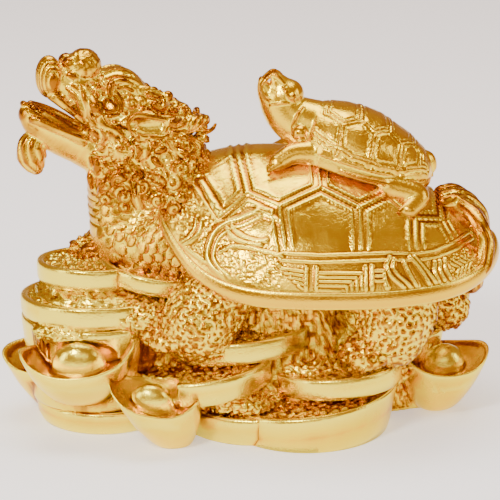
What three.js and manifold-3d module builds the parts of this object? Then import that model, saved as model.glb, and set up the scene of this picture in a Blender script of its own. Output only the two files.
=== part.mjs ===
// Dragon turtle figure: a dragon-headed turtle with a young turtle on its back, standing on a bed of
// coins and boat-shaped ingots. It is cast in one piece, so every form here is joined into one solid.
// Millimetres, +Z up. The head looks along -X, and the animal's left flank faces -Y.
// The origin is on the flat underside, in the middle of the bed.
import * as THREE from "three";
import { mergeVertices } from "three/addons/utils/BufferGeometryUtils.js";
import Module from "manifold-3d";

// Driving dimensions
const FIGURE_LENGTH = 112; // from the left ingot's horn to the tail
const COIN_THICKNESS = 5.1;
const COIN_RIM_WIDTH = 1.7;
const COIN_RECESS = 0.6; // how far a coin's face lies below its rim
const INGOT_HORN = 0.1; // how far the two ends rise above the rim, as a share of the length
const SCUTE_RELIEF = 0.8; // how far the shell's plates stand out
const SCUTE_GAP = 1.5; // width of the groove between two plates
const YOUNG_SCUTE_RELIEF = 0.6;
const LIP_HEIGHT = 4.2; // the shell's smooth rolled edge

// The free form below is written at a length of 112 mm and follows the figure's own length.
const DRAWN_LENGTH = 112;
const DRAWN_BED = 25.5;
const K = FIGURE_LENGTH / DRAWN_LENGTH;
const BED_LAYERS = 5;
const layerTop = (layers) => layers * COIN_THICKNESS;
const BED_TOP = layerTop(BED_LAYERS);
const UP = new THREE.Vector3(0, 0, 1);
const DEGREE = Math.PI / 180;

// A drawn point of the animal, which stands on the bed whatever the coins measure.
const at = (x, y, z) => new THREE.Vector3(K * x, K * y, BED_TOP + K * (z - DRAWN_BED));
// A drawn point of the bed, whose height is counted in coins.
const onBed = (x, y, layers) => new THREE.Vector3(K * x, K * y, layerTop(layers));

const wasm = await Module();
wasm.setup();
const { Manifold, Mesh } = wasm;

// A closed three.js geometry as a solid that can be joined and cut.
function solidOf(geometry, matrix = new THREE.Matrix4()) {
  const bare = geometry.clone().applyMatrix4(matrix);
  for (const name of ["normal", "uv"]) bare.deleteAttribute(name);
  const merged = mergeVertices(bare, 1e-4);
  return new Manifold(
    new Mesh({
      numProp: 3,
      vertProperties: new Float32Array(merged.attributes.position.array),
      triVerts: new Uint32Array(merged.index.array),
    }),
  );
}

function placed(position, turn = new THREE.Euler(), scale = new THREE.Vector3(1, 1, 1)) {
  return new THREE.Matrix4().compose(position, new THREE.Quaternion().setFromEuler(turn), scale);
}

const join = (solids) => Manifold.union(solids);

function ellipsoid(centre, rx, ry, rz, { turn = new THREE.Euler(), around = 12, down = 8 } = {}) {
  const ball = new THREE.SphereGeometry(1, around, down).rotateX(Math.PI / 2);
  return solidOf(ball, placed(centre, turn, new THREE.Vector3(rx, ry, rz)));
}

// Rings of points, from one pole to the other, as a closed geometry facing out.
function skinOf(start, rings, end) {
  const sides = rings[0].length;
  const points = [start, ...rings.flat(), end];
  const faces = [];
  const last = points.length - 1;
  for (let j = 0; j < sides; j++) {
    const k = (j + 1) % sides;
    faces.push(0, 1 + k, 1 + j);
    faces.push(last, last - sides + j, last - sides + k);
    for (let i = 0; i + 1 < rings.length; i++) {
      const a = 1 + i * sides;
      const b = a + sides;
      faces.push(a + j, a + k, b + j);
      faces.push(a + k, b + k, b + j);
    }
  }
  const geometry = new THREE.BufferGeometry().setFromPoints(points);
  geometry.setIndex(faces);
  return geometry;
}

// A tapered limb with round ends along a smooth curve through the points.
function limb(points, radii, { sides = 8, perSpan = 2, flat = 1, capRings = 1 } = {}) {
  const curve = new THREE.CatmullRomCurve3(points, false, "centripetal");
  const steps = (points.length - 1) * perSpan;
  const { normals, binormals } = framesOf(curve, steps);
  const rings = [];
  const radiusAt = (t) => {
    const place = t * (radii.length - 1);
    const i = Math.min(Math.floor(place), radii.length - 2);
    return THREE.MathUtils.lerp(radii[i], radii[i + 1], place - i);
  };
  const ring = (t, step, along, share) => {
    const centre = curve.getPoint(t).addScaledVector(curve.getTangent(t), along);
    const r = radiusAt(t) * share;
    return Array.from({ length: sides }, (_, j) => {
      const a = (2 * Math.PI * j) / sides;
      return centre
        .clone()
        .addScaledVector(normals[step], r * Math.cos(a))
        .addScaledVector(binormals[step], r * Math.sin(a) * flat);
    });
  };
  const first = radiusAt(0);
  const final = radiusAt(1);
  for (let c = 1; c <= capRings; c++) {
    const a = (c / (capRings + 1)) * (Math.PI / 2);
    rings.push(ring(0, 0, -first * Math.cos(a), Math.sin(a)));
  }
  for (let i = 0; i <= steps; i++) rings.push(ring(i / steps, i, 0, 1));
  for (let c = capRings; c >= 1; c--) {
    const a = (c / (capRings + 1)) * (Math.PI / 2);
    rings.push(ring(1, steps, final * Math.cos(a), Math.sin(a)));
  }
  const start = curve.getPoint(0).addScaledVector(curve.getTangent(0), -first);
  const end = curve.getPoint(1).addScaledVector(curve.getTangent(1), final);
  return solidOf(skinOf(start, rings, end));
}

// Frames that turn as little as they can along a curve, and that suit straight stretches too.
function framesOf(curve, steps) {
  const normals = [];
  const binormals = [];
  let normal = null;
  for (let i = 0; i <= steps; i++) {
    const tangent = curve.getTangent(i / steps);
    if (!normal) {
      const guide = Math.abs(tangent.z) > 0.9 ? new THREE.Vector3(1, 0, 0) : UP;
      normal = new THREE.Vector3().crossVectors(guide, tangent).normalize();
    } else {
      normal = normal.clone().addScaledVector(tangent, -normal.dot(tangent)).normalize();
    }
    normals.push(normal);
    binormals.push(new THREE.Vector3().crossVectors(tangent, normal));
  }
  return { normals, binormals };
}

// A coin: a slightly drafted disc with a raised rim round a sunken face.
// Coins are listed by the middle of their top: x, y, radius, height in coins, thickness in coins,
// and tilts in degrees: the near side down, and the tail side down.
const COIN_SIDES = 15;
const COIN_DRAFT = 0.6;
const COINS = [
  [-35.2, -3.5, 12.4, 7.1, 1.46, -5, 1],
  [-21, -5.5, 12.5, 7, 0.8, -3, 10],
  [-34.5, -4, 16.6, 5.7, 1, -5, 0],
  [-34.8, -3.4, 14, 1.3, 1.3, 0, 0],
  [-10.4, -13, 15.8, 3.2, 1.2, 1, -7],
  [-2.5, -7, 16.8, 4.2, 1, -7, -6],
  [13.6, -10.2, 20.2, 1.6, 2.4, -1, -7.5],
  [19.6, -12, 14.5, 2.9, 1, -5, -5],
  [-26, 13, 15, 3.8, 1.2, 4, -3],
  [-5, 15, 17, 2.2, 2.2, 4, 2],
  [17, 14, 18, 1.8, 2.2, 4, -4],
];
// Plain discs in the heap, of which only the edges show: the same columns as the coins
const BLANKS = [
  [-35.4, -4, 15, 4.7, 3.9, -2, 0],
  [34, 5, 12.5, 3.5, 3.5, 0, 3],
];
function disc(profile, [x, y, , top, , nearDown, tailDown]) {
  const round = new THREE.LatheGeometry(profile, COIN_SIDES).rotateX(Math.PI / 2);
  return solidOf(round, placed(onBed(x, y, top), new THREE.Euler(nearDown * DEGREE, tailDown * DEGREE, 0)));
}
function coin(row) {
  const r = K * row[2];
  const thickness = row[4] * COIN_THICKNESS;
  const face = r - COIN_RIM_WIDTH;
  const profile = [[0, -thickness], [r - COIN_DRAFT, -thickness], [r, 0], [face, 0], [face - 0.4, -COIN_RECESS], [0, -COIN_RECESS]];
  return disc(profile.map(([px, pz]) => new THREE.Vector2(px, pz)), row);
}
function blank(row) {
  const r = K * row[2];
  const thickness = row[4] * COIN_THICKNESS;
  return disc([[0, -thickness], [r - COIN_DRAFT, -thickness], [r, 0], [0, 0]].map(([px, pz]) => new THREE.Vector2(px, pz)), row);
}

// A boat-shaped ingot: its ends rise into two horns, and a round bump stands in the hollow.
// Ingots are listed by the middle of their rim: x, y, length, width, height in coins, depth of the
// hull in coins, yaw, and tilts in degrees: the near side down, and the tail side down.
const INGOT_SIDES = 12;
const INGOTS = [
  [-43.2, -5, 26.5, 18, 3, 3.3, -6, 4, 2],
  [-38, -16, 26, 17, 3.35, 2.6, 0, 10, -5],
  [-21.6, -26.6, 20.6, 14.5, 2.3, 2.6, 0, 16, 11],
  [45, -0.5, 19.6, 18, 2.3, 2.6, 10, 7, 0],
  [-30, 21, 25, 16, 2.5, 2.7, -30, -10, 0],
  [30, 23, 23, 15, 2.2, 2.5, -20, -10, 0],
];
// The hull's depth shares, and the hollow's heights as shares of the length
const HULL = [
  [0, -1],
  [0.46, -1],
  [0.84, -0.46],
  [1, 0],
];
const HOLLOW = [
  [0.9, 0.02],
  [0.64, -0.12],
  [0.44, -0.04],
  [0, 0.07],
];
function ingot([x, y, length, width, top, layers, yaw, nearDown, tailDown]) {
  const depth = layers * COIN_THICKNESS;
  const profile = [
    ...HULL.map(([r, z]) => new THREE.Vector2(r, z * depth)),
    ...HOLLOW.map(([r, z]) => new THREE.Vector2(r, z * K * length)),
  ];
  const boat = new THREE.LatheGeometry(profile, INGOT_SIDES).rotateX(Math.PI / 2);
  const p = boat.attributes.position;
  for (let i = 0; i < p.count; i++) {
    const reach = Math.hypot(p.getX(i), p.getY(i));
    const end = reach > 0 ? Math.abs(p.getX(i)) / reach : 0;
    const horn = INGOT_HORN * K * length * end ** 3 * reach ** 3;
    p.setXYZ(i, (p.getX(i) * K * length) / 2, (p.getY(i) * K * width) / 2, p.getZ(i) + horn);
  }
  const turn = new THREE.Euler(nearDown * DEGREE, tailDown * DEGREE, yaw * DEGREE, "XYZ");
  return solidOf(boat, placed(onBed(x, y, top), turn));
}

// The rough mound that the coins are set in. Its shares of height are of the whole bed.
function mound() {
  const profile = [
    [0, 0],
    [1, 0],
    [0.86, 0.56],
    [0.46, 1.22],
    [0, 1.22],
  ].map(([r, z]) => new THREE.Vector2(r, z * BED_TOP));
  const heap = new THREE.LatheGeometry(profile, 12).rotateX(Math.PI / 2);
  const stretch = new THREE.Vector3(K * 42, K * 21, 1);
  return solidOf(heap, placed(onBed(0, 1, 0), new THREE.Euler(), stretch));
}

function bed() {
  return join([mound(), ...COINS.map(coin), ...BLANKS.map(blank), ...INGOTS.map(ingot)]);
}

// The big shell, as a dome over a wavy rim. "reach" runs from 0 at the middle to 1 at the rim.
const SHELL = { x: 17, halfLength: 39, halfWidth: 30, squareness: 2.25, top: 63, topAt: 5, fall: 0.17, floor: 30 };
const RIM = { level: 35.5, frontRise: 17, frontPower: 5, backRise: 3.4, backPower: 6 };
function shellPlan(angle) {
  const [c, s] = [Math.cos(angle), Math.sin(angle)];
  const n = SHELL.squareness;
  const stretch = (Math.abs(c) ** n + Math.abs(s) ** n) ** (-1 / n);
  return [stretch * c, stretch * s];
}
function rimHeight(along) {
  const rise = along < 0 ? RIM.frontRise * (-along) ** RIM.frontPower : RIM.backRise * along ** RIM.backPower;
  return RIM.level + rise;
}
function shellPoint(reach, angle, lift = 0) {
  const [c, s] = shellPlan(angle);
  const x = SHELL.x + SHELL.halfLength * reach * c;
  const rim = rimHeight(c);
  const top = SHELL.top - SHELL.fall * (x - SHELL.topAt);
  const dome = Math.max(0, 1 - reach * reach) ** 0.8;
  return at(x, SHELL.halfWidth * reach * s, rim + (top - rim) * dome + lift);
}
function rimPoint(reach, angle, share) {
  const [c, s] = shellPlan(angle);
  const x = SHELL.x + SHELL.halfLength * reach * c;
  const point = at(x, SHELL.halfWidth * reach * s, rimHeight(c));
  point.z += share * LIP_HEIGHT;
  return point;
}

// The shell from its crown to its lip and in under it. A lift raises the dome alone.
function shellBody(lift) {
  const around = 22;
  const angles = Array.from({ length: around }, (_, j) => (-2 * Math.PI * j) / around);
  const dome = [0.38, 0.7, 0.95];
  const lip = lift > 0 ? [] : [[1, 0.35], [1.012, -0.15], [0.965, -0.5]];
  const floor = angles.map((a) => {
    const [c, s] = shellPlan(a);
    return at(SHELL.x + 0.62 * SHELL.halfLength * c, 0.62 * SHELL.halfWidth * s, SHELL.floor);
  });
  const rings = [
    ...dome.map((reach) => angles.map((a) => shellPoint(reach, a, lift))),
    ...lip.map(([reach, share]) => angles.map((a) => rimPoint(reach, a, share))),
    floor,
  ];
  return solidOf(skinOf(shellPoint(0, 0, lift), rings, at(SHELL.x, 0, SHELL.floor)));
}

// The plates' outlines in plan, drawn for the near flank: y grows towards the rim.
// Seams between the middle plates, the corners between them, and how wide the middle row is there.
const MIDDLE_SEAMS = [[-17, 8], [-1, 11], [15.5, 11.5], [30, 10.5], [42, 8]];
const MIDDLE_CORNERS = [[-8.5, 14], [7.5, 15.5], [24, 15], [36.5, 12.8], [49, 9]];
const FLANK_REACH = 0.82;
const flankEdge = (x) => {
  const t = (x - SHELL.x) / SHELL.halfLength;
  return SHELL.halfWidth * Math.sqrt(Math.max(0, FLANK_REACH ** 2 - t * t));
};

const mirrored = (outline) => outline.map(([x, y]) => [x, -y]);

function plateOutlines() {
  const plates = [];
  for (let i = 0; i + 1 < MIDDLE_SEAMS.length; i++) {
    const [a, corner, b] = [MIDDLE_SEAMS[i], MIDDLE_CORNERS[i], MIDDLE_SEAMS[i + 1]];
    plates.push([...mirrored([a, corner, b]), b, corner, a]);
  }
  const edgeIfFar = ([x, y]) => (flankEdge(x) > y + 4 ? [[x, flankEdge(x)]] : []);
  for (let i = 0; i + 1 < MIDDLE_CORNERS.length; i++) {
    const [a, seam, b] = [MIDDLE_CORNERS[i], MIDDLE_SEAMS[i + 1], MIDDLE_CORNERS[i + 1]];
    const middle = (a[0] + b[0]) / 2;
    const flank = [a, seam, b, ...edgeIfFar(b), [middle, flankEdge(middle)], ...edgeIfFar(a)];
    plates.push(flank, mirrored(flank).reverse());
  }
  return plates;
}

// A drawn outline, counterclockwise, at the figure's size and moved in by a distance edge by edge.
function insetShape(outline, distance) {
  const corners = outline.map(([x, y]) => new THREE.Vector2(K * x, K * y));
  const n = corners.length;
  const edges = corners.map((corner, i) => {
    const along = corners[(i + 1) % n].clone().sub(corner).normalize();
    const inward = new THREE.Vector2(-along.y, along.x);
    return { start: corner.clone().addScaledVector(inward, distance), along };
  });
  const points = edges.map((edge, i) => {
    const before = edges[(i + n - 1) % n];
    const cross = before.along.cross(edge.along);
    const reach = cross === 0 ? 0 : edge.start.clone().sub(before.start).cross(edge.along) / cross;
    return cross === 0 ? edge.start : before.start.clone().addScaledVector(before.along, reach);
  });
  return new THREE.Shape(points);
}

function shell() {
  const raised = shellBody(SCUTE_RELIEF / K);
  const plates = plateOutlines().map((outline) => {
    const prism = new THREE.ExtrudeGeometry(insetShape(outline, SCUTE_GAP / 2), { depth: K * 60, bevelEnabled: false });
    return solidOf(prism, placed(new THREE.Vector3(0, 0, at(0, 0, 34).z)));
  });
  return join([shellBody(0), raised.intersect(join(plates))]);
}

// The chest, the legs and the tail
function chest() {
  return limb([at(6, 0, 39), at(-8, -0.5, 41), at(-19, -1, 42)], [K * 15, K * 13.6, K * 12], { sides: 9, perSpan: 1 });
}

// Feet stand on the bed: heights below are counted in coins.
function toes(x, y, layers, radius) {
  return [-1, 0, 1].map((i) => {
    const place = onBed(x - 2 * (1 - Math.abs(i)), y + 1.7 * radius * i, layers);
    return ellipsoid(place, K * radius * 1.7, K * radius, K * radius, { around: 5, down: 3 });
  });
}
function legs() {
  return join([
    limb([at(1, -13, 41), at(-6, -17.5, 35), onBed(-11, -19, 5.3)], [K * 9, K * 8.4, K * 8.4], { sides: 7, perSpan: 1 }),
    ...toes(-18.5, -19.5, 4.6, 2.2),
    limb([at(-6, 12, 42), at(-20, 13, 43), onBed(-33.5, 7, 7.5)], [K * 8, K * 6, K * 3.4], { sides: 6, perSpan: 1 }),
    ...toes(-35.5, 5, 7.1, 1.6),
    limb([at(27, -12, 37), at(33, -17.5, 31), onBed(31.5, -18.5, 4.8)], [K * 10, K * 8.4, K * 7.4], { sides: 7, perSpan: 1 }),
    ...toes(25.6, -20.5, 4, 2.6),
    limb([at(32, 11, 34), at(43, 9, 27), onBed(45.4, 6.5, 4.3)], [K * 9, K * 6.2, K * 5.4], { sides: 6, perSpan: 1 }),
  ]);
}

function tail() {
  const locks = [-1, 0, 1].map((i) => {
    const inset = Math.abs(i);
    const spine = [
      at(49, 2 + 2 * i, 34),
      at(52.4 - inset, 2 + 3 * i, 38.6),
      at(51.6 - inset, 2 + 3.4 * i, 45),
      at(47.8 - inset, 1 + 3.6 * i, 49.6),
      at(43.4, 4.2 * i, 50),
    ];
    return limb(spine, [3.3, 3.6, 3.4, 2.8, 1.4].map((r) => K * r), { sides: 4, perSpan: 1 });
  });
  return join(locks);
}

// The neck and the head. The head is drawn in its own frame: x along the snout, y to its left, z up.
const HEAD_TURN = 18; // towards the near side
const HEAD_PITCH = 28;
const headFrame = new THREE.Matrix4()
  .makeRotationZ((180 + HEAD_TURN) * DEGREE)
  .multiply(new THREE.Matrix4().makeRotationY(-HEAD_PITCH * DEGREE))
  .setPosition(at(-28, -1, 66));
// Turned half round, the frame's y points to the near side, the animal's left.
const inHead = (x, y, z) => new THREE.Vector3(K * x, K * y, K * z).applyMatrix4(headFrame);
const headTurn = new THREE.Euler().setFromRotationMatrix(headFrame);
const headBall = (x, y, z, rx, ry, rz, options = {}) =>
  ellipsoid(inHead(x, y, z), K * rx, K * ry, K * rz, { turn: headTurn, ...options });

function neck() {
  return limb(
    [at(-14, -1, 38), at(-24.5, -1, 41), at(-27.6, -1, 47), at(-28.4, -1.5, 54), at(-28.6, -2, 62)],
    [K * 12, K * 10.4, K * 8.8, K * 8.2, K * 8],
    { sides: 10, perSpan: 1 },
  );
}

function upperHead() {
  const square = { sides: 4, perSpan: 1 };
  const pairs = [-1, 1].flatMap((s) => [
    headBall(15.4, 3.1 * s, 9.4, 3.5, 3.1, 3.7, { around: 6, down: 5 }),
    headBall(8.4, 5.3 * s, 4.6, 2.3, 2, 2.1, { around: 5, down: 4 }),
    limb([inHead(5, 3 * s, 9), inHead(-0.4, 4.4 * s, 11.8), inHead(-5.6, 4.6 * s, 12)], [K * 2, K * 1.7, K], square),
    limb([inHead(-3.6, 5.4 * s, 5.4), inHead(-10, 5 * s, 7.8), inHead(-14.6, 4.4 * s, 9.4)], [K * 1.8, K * 2.4, K * 1.8], square),
    limb(
      [inHead(16, 4.6 * s, 5), inHead(11, 6.2 * s, 0.4), inHead(2, 8.2 * s, -3.6)],
      [K * 0.8, K * 1.4, K * 1.6],
      { sides: 3, perSpan: 1 },
    ),
  ]);
  return join([
    headBall(3, 0, 3, 9.5, 8, 8.6, { around: 10, down: 6 }),
    headBall(5.8, 0, 7.6, 6, 5.4, 4.9, { around: 8, down: 5 }),
    limb([inHead(6, 0, 3.6), inHead(12, 0, 4.6), inHead(17.5, 0, 3.8), inHead(20.5, 0, 3.4)], [K * 6.4, K * 5.2, K * 4, K * 3.2], { sides: 7, perSpan: 1 }),
    headBall(22.2, 0, 4.1, 2.5, 4.6, 4, { around: 7, down: 5 }),
    ...pairs,
  ]);
}

function lowerJaw() {
  const jaw = limb(
    [inHead(2, 0, -6), inHead(8, 0, -6.6), inHead(14, 0, -7), inHead(19.4, 0, -6.2), inHead(21.8, 0, -5.8)],
    [K * 6, K * 4.8, K * 4.3, K * 3.7, K * 2.9],
    { sides: 8, perSpan: 1 },
  );
  const beard = limb(
    [inHead(18, 0, -8.6), inHead(18, 0, -12), inHead(16.4, 0, -14.6), inHead(14.4, 0, -15)],
    [K * 2.2, K * 2.5, K * 2.3, K * 1.4],
    { sides: 5, perSpan: 1, flat: 1.2 },
  );
  return join([jaw, beard]);
}

// The open mouth, cut between the jaws, and the trough inside the lower one
function mouth() {
  const outline = [[12.6, -1.6], [27, 0.6], [27, -3], [22.6, -3.4], [9.8, -3.9], [8.6, -2.6]];
  const shape = new THREE.Shape(outline.map(([x, z]) => new THREE.Vector2(K * x, K * z)));
  const slot = new THREE.ExtrudeGeometry(shape, { depth: K * 24, bevelEnabled: false }).rotateX(Math.PI / 2).translate(0, K * 12, 0);
  const trough = headBall(15.4, 0, -3.6, 6.6, 3.2, 2.6, { around: 6, down: 4 });
  return join([solidOf(slot, headFrame), trough]);
}

function ears() {
  return [-1, 1].map((s) =>
    limb([inHead(3.4, 6.5 * s, 2.4), inHead(-1, 9.2 * s, 4), inHead(-6, 9.6 * s, 7)], [K * 1.6, K * 2.9, K * 0.8], { sides: 5, perSpan: 1 }),
  );
}

// The mane: a core of elliptical slices, and round curls that lie on it.
// Slices: height, middle x, half length and half width.
const MANE_SLICES = [
  [46, -15.5, 6, 8],
  [51.6, -18, 8, 10.4],
  [64, -18.8, 8.2, 10.6],
  [70, -21, 8, 9.4],
  [75.6, -26, 5, 5.6],
];
// Curls: turn round the mane in degrees from the tail side, the near flank below zero, then height and radius
const CURLS = [
  [-158, 58, 3.4],
  [-126, 64.6, 4],
  [-128, 56.6, 3.6],
  [-134, 50, 3.2],
  [-94, 69, 3.8],
  [-92, 60.6, 4],
  [-86, 52.6, 3.8],
  [-52, 66, 4],
  [-50, 57.4, 3.8],
  [-6, 70.4, 3.2],
  [-2, 62, 3.6],
  [46, 67, 4],
  [48, 57, 4],
  [92, 63, 4.2],
  [112, 54, 4],
];
function maneSlice(height) {
  const i = Math.max(1, MANE_SLICES.findIndex(([z]) => z >= height));
  const [a, b] = [MANE_SLICES[i - 1], MANE_SLICES[i]];
  const t = (height - a[0]) / (b[0] - a[0]);
  return a.map((v, k) => THREE.MathUtils.lerp(v, b[k], t));
}
function onMane(height, turn) {
  const [, x, halfLength, halfWidth] = maneSlice(height);
  const sunk = 0.96;
  return {
    centre: at(x + sunk * halfLength * Math.cos(turn), sunk * halfWidth * Math.sin(turn), height),
    facing: new THREE.Vector3(Math.cos(turn) / halfLength, Math.sin(turn) / halfWidth, 0).normalize(),
  };
}
function mane() {
  const around = 9;
  const rings = MANE_SLICES.map(([z, x, halfLength, halfWidth]) =>
    Array.from({ length: around }, (_, j) => {
      const a = (2 * Math.PI * j) / around;
      return at(x + halfLength * Math.cos(a), halfWidth * Math.sin(a), z);
    }),
  );
  const [low, high] = [MANE_SLICES[0], MANE_SLICES[MANE_SLICES.length - 1]];
  const core = solidOf(skinOf(at(low[1], 0, low[0] - 2), rings, at(high[1], 0, high[0] + 1)));
  const curls = CURLS.map(([turn, height, radius]) => {
    const { centre, facing } = onMane(height, turn * DEGREE);
    const outward = new THREE.Euler(0, Math.PI / 2, Math.atan2(facing.y, facing.x), "ZYX");
    return ellipsoid(centre, K * radius, K * radius, K * radius * 0.55, { turn: outward, around: 7, down: 4 });
  });
  return join([core, ...curls]);
}

// The young turtle. Its shell is drawn in its own frame: x to its tail, z up from its flange.
const youngFrame = placed(at(25.5, 0, 59), new THREE.Euler(0, 16 * DEGREE, 0));
const inYoung = (x, y, z) => new THREE.Vector3(K * x, K * y, K * z).applyMatrix4(youngFrame);
const youngTurn = new THREE.Euler().setFromRotationMatrix(youngFrame);
// Slices across the shell: x, half width and height
const YOUNG_SLICES = [
  [-13.4, 8.4, 9.3],
  [-7, 11.7, 11.2],
  [1, 12.4, 10.8],
  [8.5, 10.6, 7.7],
  [14.4, 5.6, 3.6],
];
function youngShellBody(lift) {
  const over = 6;
  const slices = YOUNG_SLICES.map(([x, halfWidth, height]) => [
    ...Array.from({ length: over }, (_, j) => {
      const a = (Math.PI * j) / (over - 1);
      return inYoung(x, (halfWidth + lift) * Math.cos(a), (height + lift) * Math.sin(a));
    }),
    inYoung(x, 0, -2),
  ]);
  const [front, back] = [YOUNG_SLICES[0], YOUNG_SLICES[YOUNG_SLICES.length - 1]];
  return solidOf(skinOf(inYoung(front[0] - 0.5, 0, 4), slices, inYoung(back[0] + 1, 0, 0.8)));
}

const YOUNG_SEAMS = [[-11.5, 3.6], [-4, 4.6], [3, 4.2], [9, 3]];
const YOUNG_CORNERS = [[-7.6, 6], [-0.4, 6.4], [6.2, 5.4]];
function youngPlates() {
  const outlines = [];
  for (let i = 0; i < YOUNG_CORNERS.length; i++) {
    const [a, corner, b] = [YOUNG_SEAMS[i], YOUNG_CORNERS[i], YOUNG_SEAMS[i + 1]];
    outlines.push([...mirrored([a, corner, b]), b, corner, a]);
  }
  for (let i = 0; i + 1 < YOUNG_CORNERS.length; i++) {
    const [a, seam, b] = [YOUNG_CORNERS[i], YOUNG_SEAMS[i + 1], YOUNG_CORNERS[i + 1]];
    const flank = [a, seam, b, [b[0], 10.6], [a[0], 10.6]];
    outlines.push(flank, mirrored(flank).reverse());
  }
  return outlines.map((outline) => {
    const prism = new THREE.ExtrudeGeometry(insetShape(outline, 0.5), { depth: K * 16, bevelEnabled: false });
    return solidOf(prism, youngFrame);
  });
}

function youngTurtle() {
  const spans = { sides: 4, perSpan: 1 };
  const shellParts = [
    youngShellBody(0),
    youngShellBody(YOUNG_SCUTE_RELIEF / K).intersect(join(youngPlates())),
    ellipsoid(inYoung(0.8, 0, -0.8), K * 14.8, K * 13.5, K * 1.7, { turn: youngTurn, around: 10, down: 4 }),
    ellipsoid(at(25, 0, 57), K * 14, K * 8.5, K * 5.4, { around: 6, down: 4 }),
  ];
  const neckAndHead = [
    limb([at(15, 0, 66), at(9.8, 0, 68.4), at(7.3, 0, 71.6), at(7.6, -0.4, 73.6)], [K * 6.4, K * 5.4, K * 4.7, K * 4.3], { sides: 6, perSpan: 1 }),
    limb([at(7.6, -0.4, 74.4), at(5, -1, 78.6)], [K * 2.6, K * 1.2], spans),
    limb([at(5.6, -0.4, 71.8), at(3.6, -0.8, 75), at(3, -1, 77.2)], [K * 3.2, K * 1.9, K * 1], spans),
  ];
  const legParts = [-1, 1].flatMap((s) => [
    limb([at(14, 7 * s, 62.4), at(9.6, 8.4 * s, 62.4), at(6, 10 * s, 61)], [K * 3, K * 2.3, K * 1.9], spans),
    limb([at(31, 10 * s, 55.4), at(37, 10.4 * s, 53.4), at(35, 13.4 * s, 51)], [K * 3, K * 2.7, K * 2], spans),
  ]);
  const rear = limb([at(37, 0, 58.6), at(40.2, 0, 59.4), at(40, 0, 56.4)], [K * 2, K * 1.7, K * 1.7], { sides: 4, perSpan: 1 });
  return join([...shellParts, ...neckAndHead, ...legParts, rear]);
}

// Everything below the table top is cut off flat, so that the figure stands on its underside.
function belowGround() {
  const depth = 40;
  const slab = new THREE.BoxGeometry(4 * FIGURE_LENGTH, 4 * FIGURE_LENGTH, depth);
  return solidOf(slab, placed(new THREE.Vector3(0, 0, -depth / 2)));
}

// Voids closed in between the joined forms are filled, as they are in a casting.
const SMALLEST_BODY = 0.01;
function withoutVoids(solid) {
  return join(solid.decompose().filter((body) => body.volume() > SMALLEST_BODY));
}

const head = join([upperHead(), lowerJaw()]).subtract(mouth());
const figureSolid = withoutVoids(
  join([bed(), chest(), legs(), tail(), shell(), neck(), head, ...ears(), mane(), youngTurtle()]).subtract(belowGround()),
);

function geometryOf(solid) {
  const { vertProperties, triVerts } = solid.getMesh();
  const geometry = new THREE.BufferGeometry();
  geometry.setAttribute("position", new THREE.BufferAttribute(new Float32Array(vertProperties), 3));
  geometry.setIndex(new THREE.BufferAttribute(new Uint32Array(triVerts), 1));
  geometry.computeVertexNormals();
  return geometry;
}

const gold = new THREE.MeshStandardMaterial({ color: 0xe6a93a, roughness: 0.3, metalness: 1 });
const figure = new THREE.Group();
const casting = new THREE.Mesh(geometryOf(figureSolid), gold);
casting.name = "dragon_turtle_figure";
figure.add(casting);

export default figure;
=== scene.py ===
"""The looks of a cast gold dragon turtle figure: every form of the solid, carved finely.

Places are in drawn millimetres, in the solid's own frame: the head looks along -X, the near flank
faces -Y, and the origin is on the underside. Some are read off the photograph, in its 500 x 500
pixels, and then lie on the form that carries them.
"""
import math
from itertools import product

import bpy
import numpy as np
import openvdb
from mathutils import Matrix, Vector
from mathutils.bvhtree import BVHTree


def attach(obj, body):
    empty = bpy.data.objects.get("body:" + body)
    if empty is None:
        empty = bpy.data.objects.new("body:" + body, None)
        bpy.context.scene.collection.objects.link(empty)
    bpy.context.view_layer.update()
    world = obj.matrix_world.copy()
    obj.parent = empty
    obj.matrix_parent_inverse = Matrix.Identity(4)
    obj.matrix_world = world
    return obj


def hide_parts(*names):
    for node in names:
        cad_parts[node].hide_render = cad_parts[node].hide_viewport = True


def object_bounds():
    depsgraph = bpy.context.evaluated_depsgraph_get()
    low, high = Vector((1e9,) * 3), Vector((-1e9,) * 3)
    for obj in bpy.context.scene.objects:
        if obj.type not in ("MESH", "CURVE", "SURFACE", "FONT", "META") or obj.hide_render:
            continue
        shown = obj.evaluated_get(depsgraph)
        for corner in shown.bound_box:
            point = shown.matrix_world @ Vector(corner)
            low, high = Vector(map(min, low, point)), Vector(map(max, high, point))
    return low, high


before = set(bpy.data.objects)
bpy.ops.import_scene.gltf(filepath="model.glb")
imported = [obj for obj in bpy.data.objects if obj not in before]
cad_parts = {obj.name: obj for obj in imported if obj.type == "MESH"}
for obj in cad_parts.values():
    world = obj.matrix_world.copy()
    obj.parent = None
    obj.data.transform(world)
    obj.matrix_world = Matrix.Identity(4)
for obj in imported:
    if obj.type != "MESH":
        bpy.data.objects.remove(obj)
cad_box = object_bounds()

NODE = "dragon_turtle_figure"
DRAWN_LENGTH = 112.745
MM = (cad_box[1].x - cad_box[0].x) / DRAWN_LENGTH  # metres in a drawn millimetre
COIN = 5.1  # thickness of a coin, which the bed's heights are counted in

# The photograph's view
VIEW_ELEVATION = math.radians(18)
VIEW_DISTANCE = 560.0
VIEW_TARGET = np.array([0.0, 0.0, 37.5])
FOCAL_PIXELS = 2464.0
PIXEL = 1 / 4.4  # millimetres in a pixel of the photograph, at the figure
PHOTO_SIZE = 500
VIEW_BACK = np.array([0.0, -math.cos(VIEW_ELEVATION), math.sin(VIEW_ELEVATION)])
VIEW_UP = np.array([0.0, math.sin(VIEW_ELEVATION), math.cos(VIEW_ELEVATION)])
VIEW_RIGHT = np.array([1.0, 0.0, 0.0])
VIEW_POINT = VIEW_TARGET + VIEW_DISTANCE * VIEW_BACK
UP = np.array([0.0, 0.0, 1.0])
VIEW_DEPTH = 140.0  # the stretch of a line of sight in which the figure lies


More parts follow.
